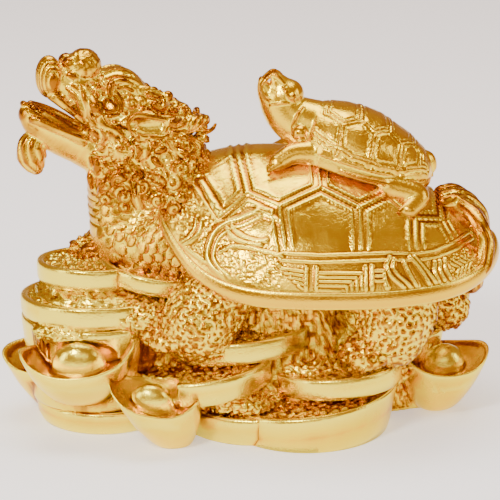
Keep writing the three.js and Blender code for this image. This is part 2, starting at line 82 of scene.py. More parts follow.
def unit(v):
    """The direction of a vector."""
    v = np.asarray(v, float)
    return v / np.linalg.norm(v)


def units(rows):
    """The direction of each vector in an array."""
    return rows / np.maximum(np.linalg.norm(rows, axis=-1), 1e-6)[..., None]


def smooth_step(t):
    t = np.clip(t, 0, 1)
    return t * t * (3 - 2 * t)


def ridge_height(away, width):
    """A rounded ridge: 1 on its line, and falling to 0 beside it."""
    return np.exp(-((away / width) ** 2))


def sight(px, py):
    """The direction in which a pixel of the photograph is seen."""
    across = (px - PHOTO_SIZE / 2) / FOCAL_PIXELS
    down = (py - PHOTO_SIZE / 2) / FOCAL_PIXELS
    return unit(across * VIEW_RIGHT - down * VIEW_UP - VIEW_BACK)


def seen_on(tree, px, py):
    """Where a pixel meets a surface, and the surface's normal there."""
    place, normal, _, _ = tree.ray_cast(Vector(VIEW_POINT), Vector(sight(px, py)))
    if place is None:
        return None, None
    return np.array(place), np.array(normal)


def turn_matrix(about_x, about_y, about_z=0.0):
    """A turn about z, then y, then x, in degrees."""
    cx, cy, cz = (math.cos(math.radians(a)) for a in (about_x, about_y, about_z))
    sx, sy, sz = (math.sin(math.radians(a)) for a in (about_x, about_y, about_z))
    rx = np.array([[1, 0, 0], [0, cx, -sx], [0, sx, cx]])
    ry = np.array([[cy, 0, sy], [0, 1, 0], [-sy, 0, cy]])
    rz = np.array([[cz, -sz, 0], [sz, cz, 0], [0, 0, 1]])
    return rx @ ry @ rz


def tree_of(points, faces):
    """A surface that lines can be cast on."""
    return BVHTree.FromPolygons([tuple(p) for p in points], [tuple(f) for f in faces])


def smooth_path(points, per_span=6):
    """A smooth curve through the points, and each of its points' places along the list."""
    points = np.asarray(points, float)
    if len(points) == 2:
        place = np.linspace(0, 1, per_span + 1)
        return points[0] + np.outer(place, points[1] - points[0]), place
    ends = np.vstack([2 * points[0] - points[1], points, 2 * points[-1] - points[-2]])
    path, place = [], []
    for i in range(len(points) - 1):
        a, b, c, d = ends[i : i + 4]
        last = i == len(points) - 2
        for t in np.linspace(0, 1, per_span + 1)[: None if last else -1]:
            bend = (2 * a - 5 * b + 4 * c - d) * t**2 + (3 * b - a - 3 * c + d) * t**3
            path.append(0.5 * (2 * b + (c - a) * t + bend))
            place.append(i + t)
    return np.array(path), np.array(place)


def along(values, place):
    """Values of a list, at places between its items."""
    return np.interp(place, np.arange(len(values)), values)


def plane_of(facing):
    """Two directions across a facing direction."""
    across = unit(np.cross(UP, facing)) if abs(facing[2]) < 0.95 else VIEW_RIGHT
    return across, np.cross(facing, across)


def round_path(centre, across, lift, radius, angle):
    """Places round a centre, at each radius and angle."""
    return centre + np.outer(radius * np.cos(angle), across) + np.outer(radius * np.sin(angle), lift)


def between_cells(table, whole, part):
    """A repeating table's values, at a part of the way from whole cells to the next ones."""
    total = 0.0
    for corner in range(8):
        bits = [(corner >> i) & 1 for i in range(3)]
        weight = 1.0
        for i in range(3):
            weight = weight * (part[:, i] if bits[i] else 1 - part[:, i])
        total = total + weight * table[tuple((whole[:, i] + bits[i]) % table.shape[i] for i in range(3))]
    return total


def lattice_noise(points, size, seed):
    """Smooth noise from -1 to 1 at scattered points, with lumps of about that size."""
    table = np.random.default_rng(seed).uniform(-1, 1, (32, 32, 32))
    scaled = np.asarray(points, float) / size + 1000.0
    whole = np.floor(scaled).astype(int)
    return between_cells(table, whole, smooth_step(scaled - whole))


# Carving: forms are joined and cut in a field of distances to the surface.
FAR = 3.0  # the field's value in empty space
MARGIN = 1.2  # how far round a form its distances are worked out


def soft_min(a, b, blend):
    """The lower of two fields of distances, rounded off where they meet."""
    if blend <= 0:
        return np.minimum(a, b)
    near = np.maximum(blend - np.abs(a - b), 0) / blend
    return np.minimum(a, b) - near * near * blend * 0.25


def spread(places, spacing, seed):
    """Which of the places to take, in a random order, so that no two are nearer than the spacing."""
    taken = {}
    chosen = []
    for i in np.random.default_rng(seed).permutation(len(places)):
        key = tuple(np.floor(places[i] / spacing).astype(int))
        near = (taken.get((key[0] + a, key[1] + b, key[2] + c)) for a, b, c in product((-1, 0, 1), repeat=3))
        if any(p is not None and ((p - places[i]) ** 2).sum() < spacing**2 for p in near):
            continue
        taken[key] = places[i]
        chosen.append(i)
    return chosen


class Clay:
    """A block of space in which forms are joined and cut."""

    def __init__(self, low, high, fine):
        self.step = fine
        self.low = np.floor(np.array(low, float) / self.step) * self.step
        count = np.ceil((np.array(high) - self.low) / self.step).astype(int) + 1
        self.axes = [(self.low[i] + self.step * np.arange(count[i])).astype(np.float32) for i in range(3)]
        self.field = np.full(count, FAR, np.float32)

    def window(self, low, high):
        """The spans of cells in a box."""
        spans = []
        for i in range(3):
            first = int(math.floor((low[i] - self.low[i]) / self.step))
            last = int(math.ceil((high[i] - self.low[i]) / self.step)) + 1
            spans.append(slice(max(first, 0), max(min(last, len(self.axes[i])), 0)))
        return tuple(spans)

    def places(self, spans):
        """The places of a window's cells, axis by axis."""
        x, y, z = (self.axes[i][spans[i]] for i in range(3))
        return x[:, None, None], y[None, :, None], z[None, None, :]

    def join(self, spans, distance, blend=0.0):
        self.field[spans] = soft_min(self.field[spans], distance, blend)

    def cut(self, spans, distance, blend=0.0):
        self.field[spans] = -soft_min(-self.field[spans], distance, blend)

    def shape(self, spans, distance, blend, cut):
        (self.cut if cut else self.join)(spans, distance, blend)

    def ball(self, centre, radii, turn=None, blend=0.0, cut=False):
        """An ellipsoid. The columns of turn are the directions of its three radii."""
        centre = np.asarray(centre, float)
        radii = np.broadcast_to(np.asarray(radii, float), 3)
        turn = np.eye(3) if turn is None else np.asarray(turn, float)
        half = np.sqrt(((turn * radii) ** 2).sum(1)) + MARGIN + blend
        spans = self.window(centre - half, centre + half)
        x, y, z = self.places(spans)
        offset = (x - centre[0], y - centre[1], z - centre[2])
        near = 0.0
        steep = 0.0
        for i in range(3):
            u = (turn[0, i] * offset[0] + turn[1, i] * offset[1] + turn[2, i] * offset[2]) / radii[i]
            near = near + u**2
            steep = steep + (u / radii[i]) ** 2
        near = np.sqrt(near)
        distance = near * (near - 1) / np.maximum(np.sqrt(steep), 1e-5)
        self.shape(spans, distance.astype(np.float32), blend, cut)

    def strand(self, points, radii, blend=0.0, cut=False, squash=None, per_span=6):
        """A round limb along a smooth curve. squash is a direction and how much thinner it is that way."""
        if len(points) < 2:
            return
        path, place = smooth_path(points, per_span)
        radius = along(radii, place)
        margin = MARGIN + blend
        reach = radius.max() + margin
        spans = self.window(path.min(0) - reach, path.max(0) + reach)
        size = [s.stop - s.start for s in spans]
        if min(size) <= 0:
            return
        distance = np.full(size, FAR, np.float32)
        base = [s.start for s in spans]
        for a, b, ra, rb in zip(path[:-1], path[1:], radius[:-1], radius[1:]):
            edge = max(ra, rb) + margin
            inner = self.window(np.minimum(a, b) - edge, np.maximum(a, b) + edge)
            x, y, z = self.places(inner)
            d = b - a
            length = max(d @ d, 1e-9)
            t = ((x - a[0]) * d[0] + (y - a[1]) * d[1] + (z - a[2]) * d[2]) / length
            t = np.clip(t, 0, 1)
            qx, qy, qz = x - a[0] - t * d[0], y - a[1] - t * d[1], z - a[2] - t * d[2]
            square = qx**2 + qy**2 + qz**2
            if squash is not None:
                n, factor = squash
                square = square + (factor**2 - 1) * (qx * n[0] + qy * n[1] + qz * n[2]) ** 2
            part = np.sqrt(square) - (ra + t * (rb - ra))
            local = tuple(slice(s.start - o, s.stop - o) for s, o in zip(inner, base))
            distance[local] = np.minimum(distance[local], part)
        self.shape(spans, distance, blend, cut)

    def rope(self, points, radii, strands, twist, depth, blend):
        """A lock of hair: a limb with strands lying round it."""
        path, place = smooth_path(points, 8)
        radius = along(radii, place)
        self.strand(points, [r * 0.8 for r in radii], blend)
        tangent = units(np.gradient(path, axis=0))
        side = units(np.cross(tangent, UP if abs(tangent[0] @ UP) < 0.9 else VIEW_RIGHT))
        lift = np.cross(side, tangent)
        for k in range(strands):
            turn = 2 * math.pi * (k / strands) + twist * place
            offset = side * np.cos(turn)[:, None] + lift * np.sin(turn)[:, None]
            self.strand(path + offset * (radius * (1 - depth))[:, None], radius * depth, 0.12, per_span=1)

    def curl(self, centre, facing, radius, turns, start, hand, blend=0.35, tube=0.27):
        """A snail of hair that lies on a small mound."""
        facing = unit(facing)
        across, lift = plane_of(facing)
        turn = np.column_stack([across, lift, facing])
        self.ball(centre, (radius * 0.95, radius * 0.95, radius * 0.6), turn, blend)
        t = np.linspace(0, 1, int(14 * turns) + 4)
        angle = start + hand * 2 * math.pi * turns * t
        path = round_path(centre, across, lift, radius * (0.8 - 0.74 * t), angle)
        path = path + np.outer(radius * (0.34 + 0.42 * t), facing)
        self.strand(path, radius * tube * (1 - 0.35 * t), 0.12, per_span=1)

    def comma(self, centre, facing, size, start, hand):
        """A short bent lock that swells towards its end."""
        facing = unit(facing)
        across, lift = plane_of(facing)
        t = np.linspace(0, 1, 8)
        path = round_path(centre, across, lift, size * (1.15 - 0.7 * t), start + hand * 3.6 * t)
        self.strand(path + np.outer(size * 0.3 * t, facing), size * (0.2 + 0.3 * t), 0.12, per_span=1)

    def value(self, points):
        """The distance at scattered places, blended between the field's cubes."""
        scaled = (points - self.low) / self.step
        whole = np.clip(np.floor(scaled).astype(int), 0, np.array(self.field.shape) - 2)
        return between_cells(self.field, whole, scaled - whole)

    def march(self, start, direction, length):
        """Where a line first meets the surface, and the surface's normal there."""
        direction = unit(direction)
        run = np.arange(0, length, 0.3 * self.step)
        places = start + np.outer(run, direction)
        high = self.low + self.step * (np.array(self.field.shape) - 1)
        inside = np.all((places > self.low) & (places < high), axis=1)
        places = places[inside]
        if not len(places):
            return None, None
        met = np.flatnonzero(self.value(places) < 0)
        if not len(met):
            return None, None
        place = places[met[0]]
        around = place + self.step * np.vstack([np.eye(3), -np.eye(3)])
        values = self.value(around)
        return place, unit(values[:3] - values[3:] + 1e-6 * UP)

    def seen(self, px, py):
        """Where a pixel of the photograph meets the clay, and the normal there."""
        ray = sight(px, py)
        return self.march(VIEW_POINT + ray * (VIEW_DISTANCE - VIEW_DEPTH / 2), ray, VIEW_DEPTH)

    def lay(self, pixels, lift=0.0):
        """A line of the photograph, laid on the clay and lifted off it."""
        spots = [self.seen(px, py) for px, py in pixels]
        return np.array([place + normal * lift for place, normal in spots if place is not None])

    def edge_cells(self):
        """The cells beside the surface."""
        inside = self.field < 0
        edge = np.zeros_like(inside)
        for axis in range(3):
            span = [slice(None)] * 3
            span[axis] = slice(0, -1)
            edge[tuple(span)] |= np.diff(inside, axis=axis)
        cells = np.argwhere(edge)
        return cells[np.all((cells > 1) & (cells < np.array(edge.shape) - 2), axis=1)]

    def surface(self, spacing, seed, where):
        """Spots spread evenly over a part of the surface, with its normals there."""
        cells = self.edge_cells()
        cells = cells[where(*(self.low + cells * self.step).T)]
        places = self.low + cells * self.step
        chosen = spread(places, spacing, seed)
        cells, places = cells[chosen], places[chosen]
        normals = np.empty_like(places)
        for axis in range(3):
            ahead, behind = cells.copy(), cells.copy()
            ahead[:, axis] += 1
            behind[:, axis] -= 1
            normals[:, axis] = self.field[tuple(ahead.T)] - self.field[tuple(behind.T)]
        normals = units(normals)
        depth = self.field[tuple(cells.T)]
        return places - normals * depth[:, None], normals

    def mail(self, spacing, radius, seed, where, out, blend):
        """Crumbs like broken mail over part of the surface: small flakes that lie at many angles."""
        spots, normals = self.surface(spacing, seed, where)
        random = np.random.default_rng(seed + 1)
        for spot, normal in zip(spots, normals):
            size = radius * random.uniform(0.7, 1.25)
            stretch = size * np.array([random.uniform(0.8, 1.3), random.uniform(0.6, 1.0), 0.42])
            facing = unit(normal + random.normal(size=3) * 0.5)
            across = unit(np.cross(facing, random.normal(size=3)))
            turn = np.column_stack([across, np.cross(facing, across), facing])
            self.ball(spot + normal * out * size, stretch, turn, blend)

    def mesh(self):
        """The surface, as points and faces."""
        limit = 4 * self.step
        values = np.clip(self.field, -limit, limit).astype(np.float32)
        values[[0, -1], :, :] = limit
        values[:, [0, -1], :] = limit
        values[:, :, [0, -1]] = limit
        grid = openvdb.FloatGrid(limit)
        grid.copyFromArray(values)
        points, faces = grid.convertToQuads(0.0)
        return points * self.step + self.low, faces[:, ::-1]


# Objects
# The most triangles that each piece may have
MOST_TRIANGLES = {
    "carapace": 195000, "coins_and_ingots": 160000, "legs_and_tail": 165000, "neck_and_chest": 140000,
    "dragon_head_and_mane": 198000, "young_turtle": 130000,
}


def neighbours_mean(points, edges, times):
    """The points, each moved halfway to the mean of its neighbours, some times over."""
    size = len(points)
    count = np.maximum(np.bincount(edges.ravel(), minlength=size), 1)[:, None]
    for _ in range(times):
        total = np.zeros_like(points)
        for axis in range(3):
            total[:, axis] = np.bincount(edges[:, 0], points[edges[:, 1], axis], size)
            total[:, axis] += np.bincount(edges[:, 1], points[edges[:, 0], axis], size)
        points = 0.5 * points + 0.5 * total / count
    return points


def read_rows(items, name, width, kind=float):
    """One property of a mesh's vertices or edges, a row for each."""
    values = np.empty(len(items) * width, kind)
    items.foreach_get(name, values)
    return values.reshape(-1, width)


def add_painted_shading(mesh, times, depth, painted_shade_shift):
    """Painted shading: near 0 on raised edges, a painted highlight, a half where it's flat, and near 1 in
    grooves, painted shade.

    "depth" is that of a hollow, in drawn millimetres, over which the painted shade goes from none to full,
    and
    "times" says how wide the hollows are that count. The last argument gives more painted shade for each
    place, or painted light where it is below 0.
    """
    points = read_rows(mesh.vertices, "co", 3) / MM
    hollow = neighbours_mean(points, read_rows(mesh.edges, "vertices", 2, int), times) - points
    # Painted shade in grooves and a painted highlight on raised edges, from how far each point lies off its
    # neighbours' mean
    tone = 0.5 + (hollow * read_rows(mesh.vertices, "normal", 3)).sum(1) / depth
    if painted_shade_shift is not None:
        tone += painted_shade_shift(points)
    painted_shading = mesh.attributes.new("painted_shading", "FLOAT", "POINT")
    painted_shading.data.foreach_set("value", np.clip(tone, 0, 1).astype(np.float32))


def add_object(name, data):
    obj = bpy.data.objects.new(name, data)
    bpy.context.scene.collection.objects.link(obj)
    return obj


def make_object(name, points, *face_sets):
    """An object from points in drawn millimetres, and arrays of triangles and of quads."""
    mesh = bpy.data.meshes.new(name)
    mesh.vertices.add(len(points))
    mesh.vertices.foreach_set("co", (np.asarray(points) * MM).astype(np.float32).ravel())
    corners = np.concatenate([np.asarray(faces).ravel() for faces in face_sets]).astype(np.int32)
    sizes = np.concatenate([np.full(len(faces), np.asarray(faces).shape[1]) for faces in face_sets])
    starts = np.concatenate([[0], np.cumsum(sizes)[:-1]]).astype(np.int32)
    mesh.loops.add(len(corners))
    mesh.loops.foreach_set("vertex_index", corners)
    mesh.polygons.add(len(sizes))
    mesh.polygons.foreach_set("loop_start", starts)
    mesh.update(calc_edges=True)
    mesh.validate()
    return add_object(name, mesh)


def keep_below(obj, limit):
    """Merges small faces until the object has at most that many triangles."""
    obj.data.calc_loop_triangles()
    count = len(obj.data.loop_triangles)
    if count > limit:
        thin = obj.modifiers.new("thin", "DECIMATE")
        thin.ratio = limit / count
        apply_modifiers(obj)


def apply_modifiers(obj):
    """Gives the object the mesh that its modifiers make."""
    graph = bpy.context.evaluated_depsgraph_get()
    mesh = bpy.data.meshes.new_from_object(obj.evaluated_get(graph))
    old = obj.data
    obj.modifiers.clear()
    obj.data = mesh
    mesh.name = obj.name
    bpy.data.meshes.remove(old)


def finish_piece(obj, times=14, depth=0.36, painted_shade_shift=None):
    """Paints shade and highlight on a piece, gilds it and enters it in the frame."""
    keep_below(obj, MOST_TRIANGLES[obj.name])
    obj.data.shade_smooth()
    # Painted shade in hollows and a painted highlight on raised edges
    add_painted_shading(obj.data, times, depth, painted_shade_shift)
    obj.data.materials.clear()
    obj.data.materials.append(GOLD)
    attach(obj, "root")
    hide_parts(NODE)
    return obj


def piece_of_clay(name, clay, painted_shade_shift=None):
    points, quads = clay.mesh()
    return finish_piece(make_object(name, points, quads), painted_shade_shift=painted_shade_shift)


# Materials
def add_node(tree, kind, values=(), links=()):
    """A node, with plain values on some of its sockets and links into others."""
    node = tree.nodes.new(kind)
    for name, value in dict(values).items():
        node.inputs[name].default_value = value
    for name, source in dict(links).items():
        tree.links.new(source, node.inputs[name])
    return node


# The gold's colour at each amount of painted shading: the pale yellow at 0 is a painted highlight, the dark
# brown towards 1 is painted shade
PAINTED_SHADE_COLOURS = [
    (0.0, (1.0, 0.82, 0.05, 1)), (0.36, (1.0, 0.73, 0.008, 1)), (0.52, (1.0, 0.67, 0.005, 1)),
    (0.68, (0.86, 0.5, 0.003, 1)), (1.0, (0.36, 0.12, 0.0, 1)),
]


def gold_material():
    """Polished gold: with painted shade in its grooves and a painted highlight on its raised edges, cloudy in
    its gloss, with a fine grain.
    """
    material = bpy.data.materials.new("gold_with_painted_shading")
    material.use_nodes = True
    tree = material.node_tree
    tree.nodes.clear()
    place = {"Vector": add_node(tree, "ShaderNodeTexCoord").outputs["Object"]}
    # The painted shade and highlight, stored on the mesh, pick the colour
    painted_shading = add_node(tree, "ShaderNodeAttribute")
    painted_shading.attribute_name = "painted_shading"
    colour = add_node(tree, "ShaderNodeValToRGB", (), {0: painted_shading.outputs["Fac"]})
    while len(colour.color_ramp.elements) < len(PAINTED_SHADE_COLOURS):
        colour.color_ramp.elements.new(0.5)
    for element, (position, tone) in zip(colour.color_ramp.elements, PAINTED_SHADE_COLOURS):
        element.position = position
        element.color = tone
    cloud = add_node(tree, "ShaderNodeTexNoise", {"Scale": 160, "Detail": 3}, place)
    gloss = {"From Min": 0.3, "From Max": 0.7, "To Min": 0.16, "To Max": 0.29}
    rough = add_node(tree, "ShaderNodeMapRange", gloss, {"Value": cloud.outputs["Fac"]})
    grain = add_node(tree, "ShaderNodeTexNoise", {"Scale": 2400, "Detail": 2}, place)
    fine = {"Strength": 0.3, "Distance": 0.0002}
    bump = add_node(tree, "ShaderNodeBump", fine, {"Height": grain.outputs["Fac"]})
    looks = {"Base Color": colour.outputs[0], "Roughness": rough.outputs[0], "Normal": bump.outputs[0]}
    shader = add_node(tree, "ShaderNodeBsdfPrincipled", {"Metallic": 1.0}, looks)
    add_node(tree, "ShaderNodeOutputMaterial", (), {"Surface": shader.outputs[0]})
    return material


GOLD = gold_material()

# The carapace, as a dome over a wavy rim. "reach" runs from 0 at the middle to 1 at the rim.
SHELL_X, SHELL_LENGTH, SHELL_WIDTH, SHELL_SQUARENESS = 17.0, 39.0, 30.0, 2.25
SHELL_TOP, SHELL_TOP_AT, SHELL_FALL, SHELL_FLOOR = 62.8, 5.0, 0.17, 30.0
RIM_LEVEL, FRONT_RISE, FRONT_POWER, BACK_RISE, BACK_POWER = 35.5, 16.5, 5, 3.4, 6
LIP_START = 0.978
BAND_REACH = 0.8
# The lip's section: reach, and height over the rim
LIP = [
    (0.978, 2.05), (0.984, 1.4), (0.99, 1.75), (0.998, 1.7), (1.008, 0.9), (1.012, -0.2), (1.005, -1.3),
    (0.99, -2.1), (0.96, -2.3),
]
SHELL_NEAR, SHELL_FAR = ((470, 210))  # spots round the near and the far half
PLATE_PITCH, BAND_PITCH = ((0.46, 0.21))
SEAM_WIDTH, FOOT_WIDTH = 2.2, 1.6  # from a seam's middle to its edge, and of the groove at the plates' foot
SEAM_DEPTH, FOOT_DEPTH = 0.22, 0.2
FRETS_FROM, FRETS_TO = 7, 43  # the stretch of the shell beside the key pattern, which is hatched less
BELLY_REACH = 0.62


def shell_plan(angle):
    """The rim's rounded outline in plan, as shares of its half length and half width."""
    c, s = np.cos(angle), np.sin(angle)
    stretch = (np.abs(c) ** SHELL_SQUARENESS + np.abs(s) ** SHELL_SQUARENESS) ** (-1 / SHELL_SQUARENESS)
    return stretch * c, stretch * s


def rim_height(share):
    """The rim's height at a share of the half length from the middle."""
    front = FRONT_RISE * np.maximum(-share, 0) ** FRONT_POWER
    back = BACK_RISE * np.maximum(share, 0) ** BACK_POWER
    return RIM_LEVEL + front + back


def dome_point(reach, angle):
    """Places on the plain dome."""
    c, s = shell_plan(angle)
    x = SHELL_X + SHELL_LENGTH * reach * c
    rim = rim_height(c)
    top = SHELL_TOP - SHELL_FALL * (x - SHELL_TOP_AT)
    dome = np.maximum(0, 1 - reach**2) ** 0.8
    return np.stack([x, SHELL_WIDTH * reach * s, rim + (top - rim) * dome], -1)


def rim_point(reach, angle, over):
    """Places beside the rim, at a height over it."""
    c, s = shell_plan(angle)
    x = SHELL_X + SHELL_LENGTH * reach * c
    return np.stack([x, SHELL_WIDTH * reach * s, rim_height(c) + over + 0 * x], -1)


def closed_rows(rows, first, last):
    """Rows of points, each going round once, closed by a point at each end: points, triangles, quads."""
    around = len(rows[0])
    points = np.vstack([first[None]] + list(rows) + [last[None]])
    here = np.arange(around)
    ahead = (here + 1) % around
    end = len(points) - 1
    start_fan = np.column_stack([0 * here, 1 + here, 1 + ahead])
    end_fan = np.column_stack([0 * here + end, end - around + ahead, end - around + here])
    bands = []
    for i in range(len(rows) - 1):
        low, high = 1 + i * around, 1 + (i + 1) * around
        bands.append(np.column_stack([low + here, high + here, high + ahead, low + ahead]))
    return points, np.vstack([start_fan, end_fan]), np.vstack(bands)


def distance_to_path(points, path):
    """The distance of each point to a line of straight stretches."""
    best = np.full(len(points), 1e9)
    for a, b in zip(path[:-1], path[1:]):
        d = b - a
        t = np.clip(((points - a) @ d) / max(d @ d, 1e-9), 0, 1)
        q = points - a - t[:, None] * d
        best = np.minimum(best, (q * q).sum(1))
    return np.sqrt(best)


def dome_tree():
    """The plain dome, for the photograph's lines to be laid on."""
    angles = np.linspace(0, 2 * math.pi, 181)[:-1]
    rows = [dome_point(reach, angles) for reach in np.linspace(0.02, 1.0, 60)]
    points, triangles, quads = closed_rows(rows, dome_point(0.0, 0.0), rim_point(0.9, 0.0, -4.0))
    return tree_of(points, triangles.tolist() + quads.tolist())


DOME = dome_tree()


def on_dome(pixels, per_span=0):
    """A line of the photograph, laid on the near half of the dome."""
    pixels = np.asarray(pixels, float)
    if per_span:
        pixels = smooth_path(pixels, per_span)[0]
    else:
        dense = [np.linspace(a, b, 7)[:-1] for a, b in zip(pixels[:-1], pixels[1:])]
        pixels = np.vstack(dense + [pixels[-1:]])
    places = [seen_on(DOME, px, py)[0] for px, py in pixels]
    return np.array([p for p in places if p is not None])


# Seams between the plates, in the photograph's pixels, near flank
MIDDLE_ROW = [
    (200, 181), (222, 214), (247, 193), (279, 206.5), (320.5, 187.5), (359.5, 207.5), (387, 194), (416, 218),
]
MIDDLE_ROW_REAR = [(416, 218), (442, 219), (455, 243)]
FLANK_SEAMS = [[(279, 206.5), (286, 254)], [(359.5, 207.5), (361, 254)], [(416, 218), (416, 251)]]
CROSS_SEAMS = [
    [(247, 193), (238, 154)], [(320.5, 187.5), (318, 165)],
    [(387, 194), (385, 176)], [(442, 219), (439, 188)],
]
PLATE_FOOT = [
    (283, 257), (320, 259), (361, 257.5), (390, 256.5), (416, 257), (436, 254), (455, 246), (470, 236),
]

# Ridges of the rim's band and of the cloud scroll in front, near flank: height, half width, pixels
RIDGES = [
    (0.75, 0.75, [(257, 212), (240, 219), (227, 223), (216, 231), (210, 243), (208, 256), (213, 267),
                  (222, 277)]),
    (0.45, 0.4, [(262, 216), (244, 225), (231, 229), (220, 237), (215, 248), (214, 258), (220, 268),
                 (230, 277)]),
    (0.6, 0.5, [(227, 228), (233, 237), (246, 243), (261, 245)]),
    (0.6, 0.5, [(232, 226), (240, 235), (254, 241), (266, 241)]),
    (0.6, 0.6, [(202, 221), (200, 231), (193, 239), (183, 245)]),
    (0.5, 0.4, [(197, 217), (195, 228), (188, 238), (180, 242)]),
    (0.5, 0.45, [(181, 244), (196, 256), (208, 263)]),
    (0.5, 0.4, [(220, 252), (230, 247), (246, 247), (262, 251), (282, 256)]),
    (0.5, 0.4, [(257, 210), (278, 221)]),
    (0.5, 0.4, [(206, 192), (220, 216)]),
    (0.4, 0.35, [(211, 203), (218, 214)]),
]
POSTS = [
    ((306, 268), (306, 291)), ((316.5, 268), (316.5, 292)),
    ((366, 267), (366, 293)), ((372, 266), (372, 293)),
]
LEAVES = [
    [(390, 257), (387, 266), (391, 276), (402, 286), (410, 296)],
    [(394, 259), (393, 267), (398, 275), (408, 284), (416, 295)],
    [(410, 257), (420, 269), (430, 285), (436, 297)],
    [(414, 256), (425, 269), (436, 283), (441, 295)],
    [(404, 262), (410, 275), (418, 288), (424, 296)],
    [(435, 262), (435, 273), (443, 289)],
    [(440, 261), (440, 271), (448, 286)],
    [(445, 259), (445, 268), (453, 283)],
]
# The key pattern beside the posts: copies, the first one's pixels, and each pixel's step to the next copy
FRETS = [
    (5, [(281, 268.5), (303, 271.5)], [(4.5, 4.3), (0, 4.3)]),
    (4, [(319, 273), (362, 273.5), (362, 292)], [(0, 4.2), (-5, 4.2), (-5, 0)]),
    (1, [(319, 290), (340, 291)], [(0, 0), (0, 0)]),
    (3, [(375, 271), (384, 271), (386, 292)], [(0, 5), (1, 5), (2, 0)]),
    (4, [(450, 263), (459, 268), (456, 276)], [(4, -2), (4, -2), (4, -2)]),
]


def relief(points):
    """How far the plates stand out from the plain dome, and the points, all taken to the near half."""
    near = points.copy()
    near[:, 1] = -np.abs(points[:, 1])
    face = lattice_noise(near, 0.8, 5) * 0.05 + lattice_noise(near, 3.5, 6) * 0.06
    seams = [on_dome(seam) for seam in [MIDDLE_ROW, MIDDLE_ROW_REAR] + FLANK_SEAMS]
    for line in (on_dome(seam) for seam in CROSS_SEAMS):
        seams.append(np.vstack([line, line[-1:] * np.array([1.0, 0.0, 1.0])]))
    from_seam = np.min([distance_to_path(near, seam) for seam in seams], axis=0)
    from_foot = distance_to_path(near, on_dome(PLATE_FOOT))
    # One ridge runs along a seam's middle, and one on each side of it
    edges = 0.62 * ridge_height(from_seam, 0.46) + 0.6 * ridge_height(from_seam - 1.8, 0.4)
    height = np.where(from_seam < SEAM_WIDTH, -SEAM_DEPTH, 0.02 + face) + edges * (from_seam < 3.5)
    foot = 0.6 * ridge_height(from_foot - 0.8, 0.36)
    return np.where(from_foot < FOOT_WIDTH, np.minimum(height, -FOOT_DEPTH) + foot, height), near


def carve_ridges(height, near):
    """Adds the ridges, key pattern, posts and leaves to the relief's height."""
    lines = [(level, width, on_dome(pixels, 5)) for level, width, pixels in RIDGES]
    for copies, line, step in FRETS:
        lines += [(0.5, 0.27, on_dome(np.array(line) + k * np.array(step))) for k in range(copies)]
    lines += [(0.65, 0.36, on_dome(line)) for line in POSTS]
    lines += [(0.7, 0.42, on_dome(line, 5)) for line in LEAVES]
    for level, width, path in lines:
        height = np.maximum(height, level * ridge_height(distance_to_path(near, path), width))
    return height


def shell_reaches():
    """The rows from the crown to the lip, closer over the rim's band, whose pattern is finer."""
    dense = np.linspace(0.004, LIP_START, 4000)
    steps = np.linalg.norm(np.diff(dome_point(dense, -math.pi / 2), axis=0), axis=1)
    rows = np.concatenate([[0], np.cumsum(steps / np.where(dense[1:] > BAND_REACH, BAND_PITCH, PLATE_PITCH))])
    return np.interp(np.linspace(0, rows[-1], int(rows[-1])), rows, dense)


def strokes(points, size):
    """Short crossing strokes, like those of a graver, from 0 to 1."""
    rising = lattice_noise(points @ (np.array([[1, 0, 3.2], [0, 1, 0], [1, 0, -3.2]]) / size).T, 1.0, 12)
    falling = lattice_noise(points @ (np.array([[3.2, 0, 1], [0, 1, 0], [-0.8, 0, 1]]) / size).T, 1.0, 13)
    return np.maximum(np.abs(rising), np.abs(falling))


def lip_painted_shade(points):
    """More painted shade on the lip, under its bright edge."""
    rise = points[:, 2] - rim_height((points[:, 0] - SHELL_X) / SHELL_LENGTH)
    # Painted shade on the lip's lower part
    return np.where(rise < 1.3, 0.4, 0.0)


def carved_dome(angles):
    """The dome's rows from the crown to the lip, with their carving."""
    reaches = shell_reaches()
    base = np.array([dome_point(reach, angles) for reach in reaches])
    ahead = np.array([dome_point(reach + 1e-3, angles) for reach in reaches]) - base
    aside = np.array([dome_point(reach, angles + 1e-3) for reach in reaches]) - base
    normal = np.cross(ahead, aside)
    normal /= np.linalg.norm(normal, axis=2)[..., None]
    reach_of = np.repeat(reaches, len(angles))
    height, near = relief(base.reshape(-1, 3))
    off_foot = distance_to_path(near, on_dome(PLATE_FOOT)) > FOOT_WIDTH
    below = smooth_step((reach_of - BAND_REACH) / 0.05) * off_foot
    hatched = np.where((near[:, 0] < FRETS_FROM) | (near[:, 0] > FRETS_TO), 0.5, 0.14)
    height = height * (1 - below) + below * (hatched * strokes(near, 1.5) - 0.15)
    height = carve_ridges(height, near) * smooth_step((LIP_START + 0.004 - reach_of) / 0.02)
    return base + normal * height.reshape(base.shape[:2])[..., None]


def carapace():
    near_half = np.linspace(-math.pi, 0, SHELL_NEAR, endpoint=False)
    angles = np.concatenate([near_half, np.linspace(0, math.pi, SHELL_FAR, endpoint=False)])
    section, _ = smooth_path(LIP, 3)
    rows = list(carved_dome(angles))
    rows += [rim_point(reach, angles, over) for reach, over in section[1:]]
    edge = rows[-1]
    belly = rim_point(BELLY_REACH, angles, 0)
    belly[:, 2] = SHELL_FLOOR
    rows += [edge * (1 - t) + belly * t for t in np.linspace(0, 1, 7)[1:]]
    middle = np.array([SHELL_X, 0, SHELL_FLOOR])
    points, triangles, quads = closed_rows(rows, dome_point(0.0, 0.0) + 0.3 * UP, middle)
    shell = make_object("carapace", points, triangles, quads)
    return finish_piece(shell, times=10, depth=0.2, painted_shade_shift=lip_painted_shade)


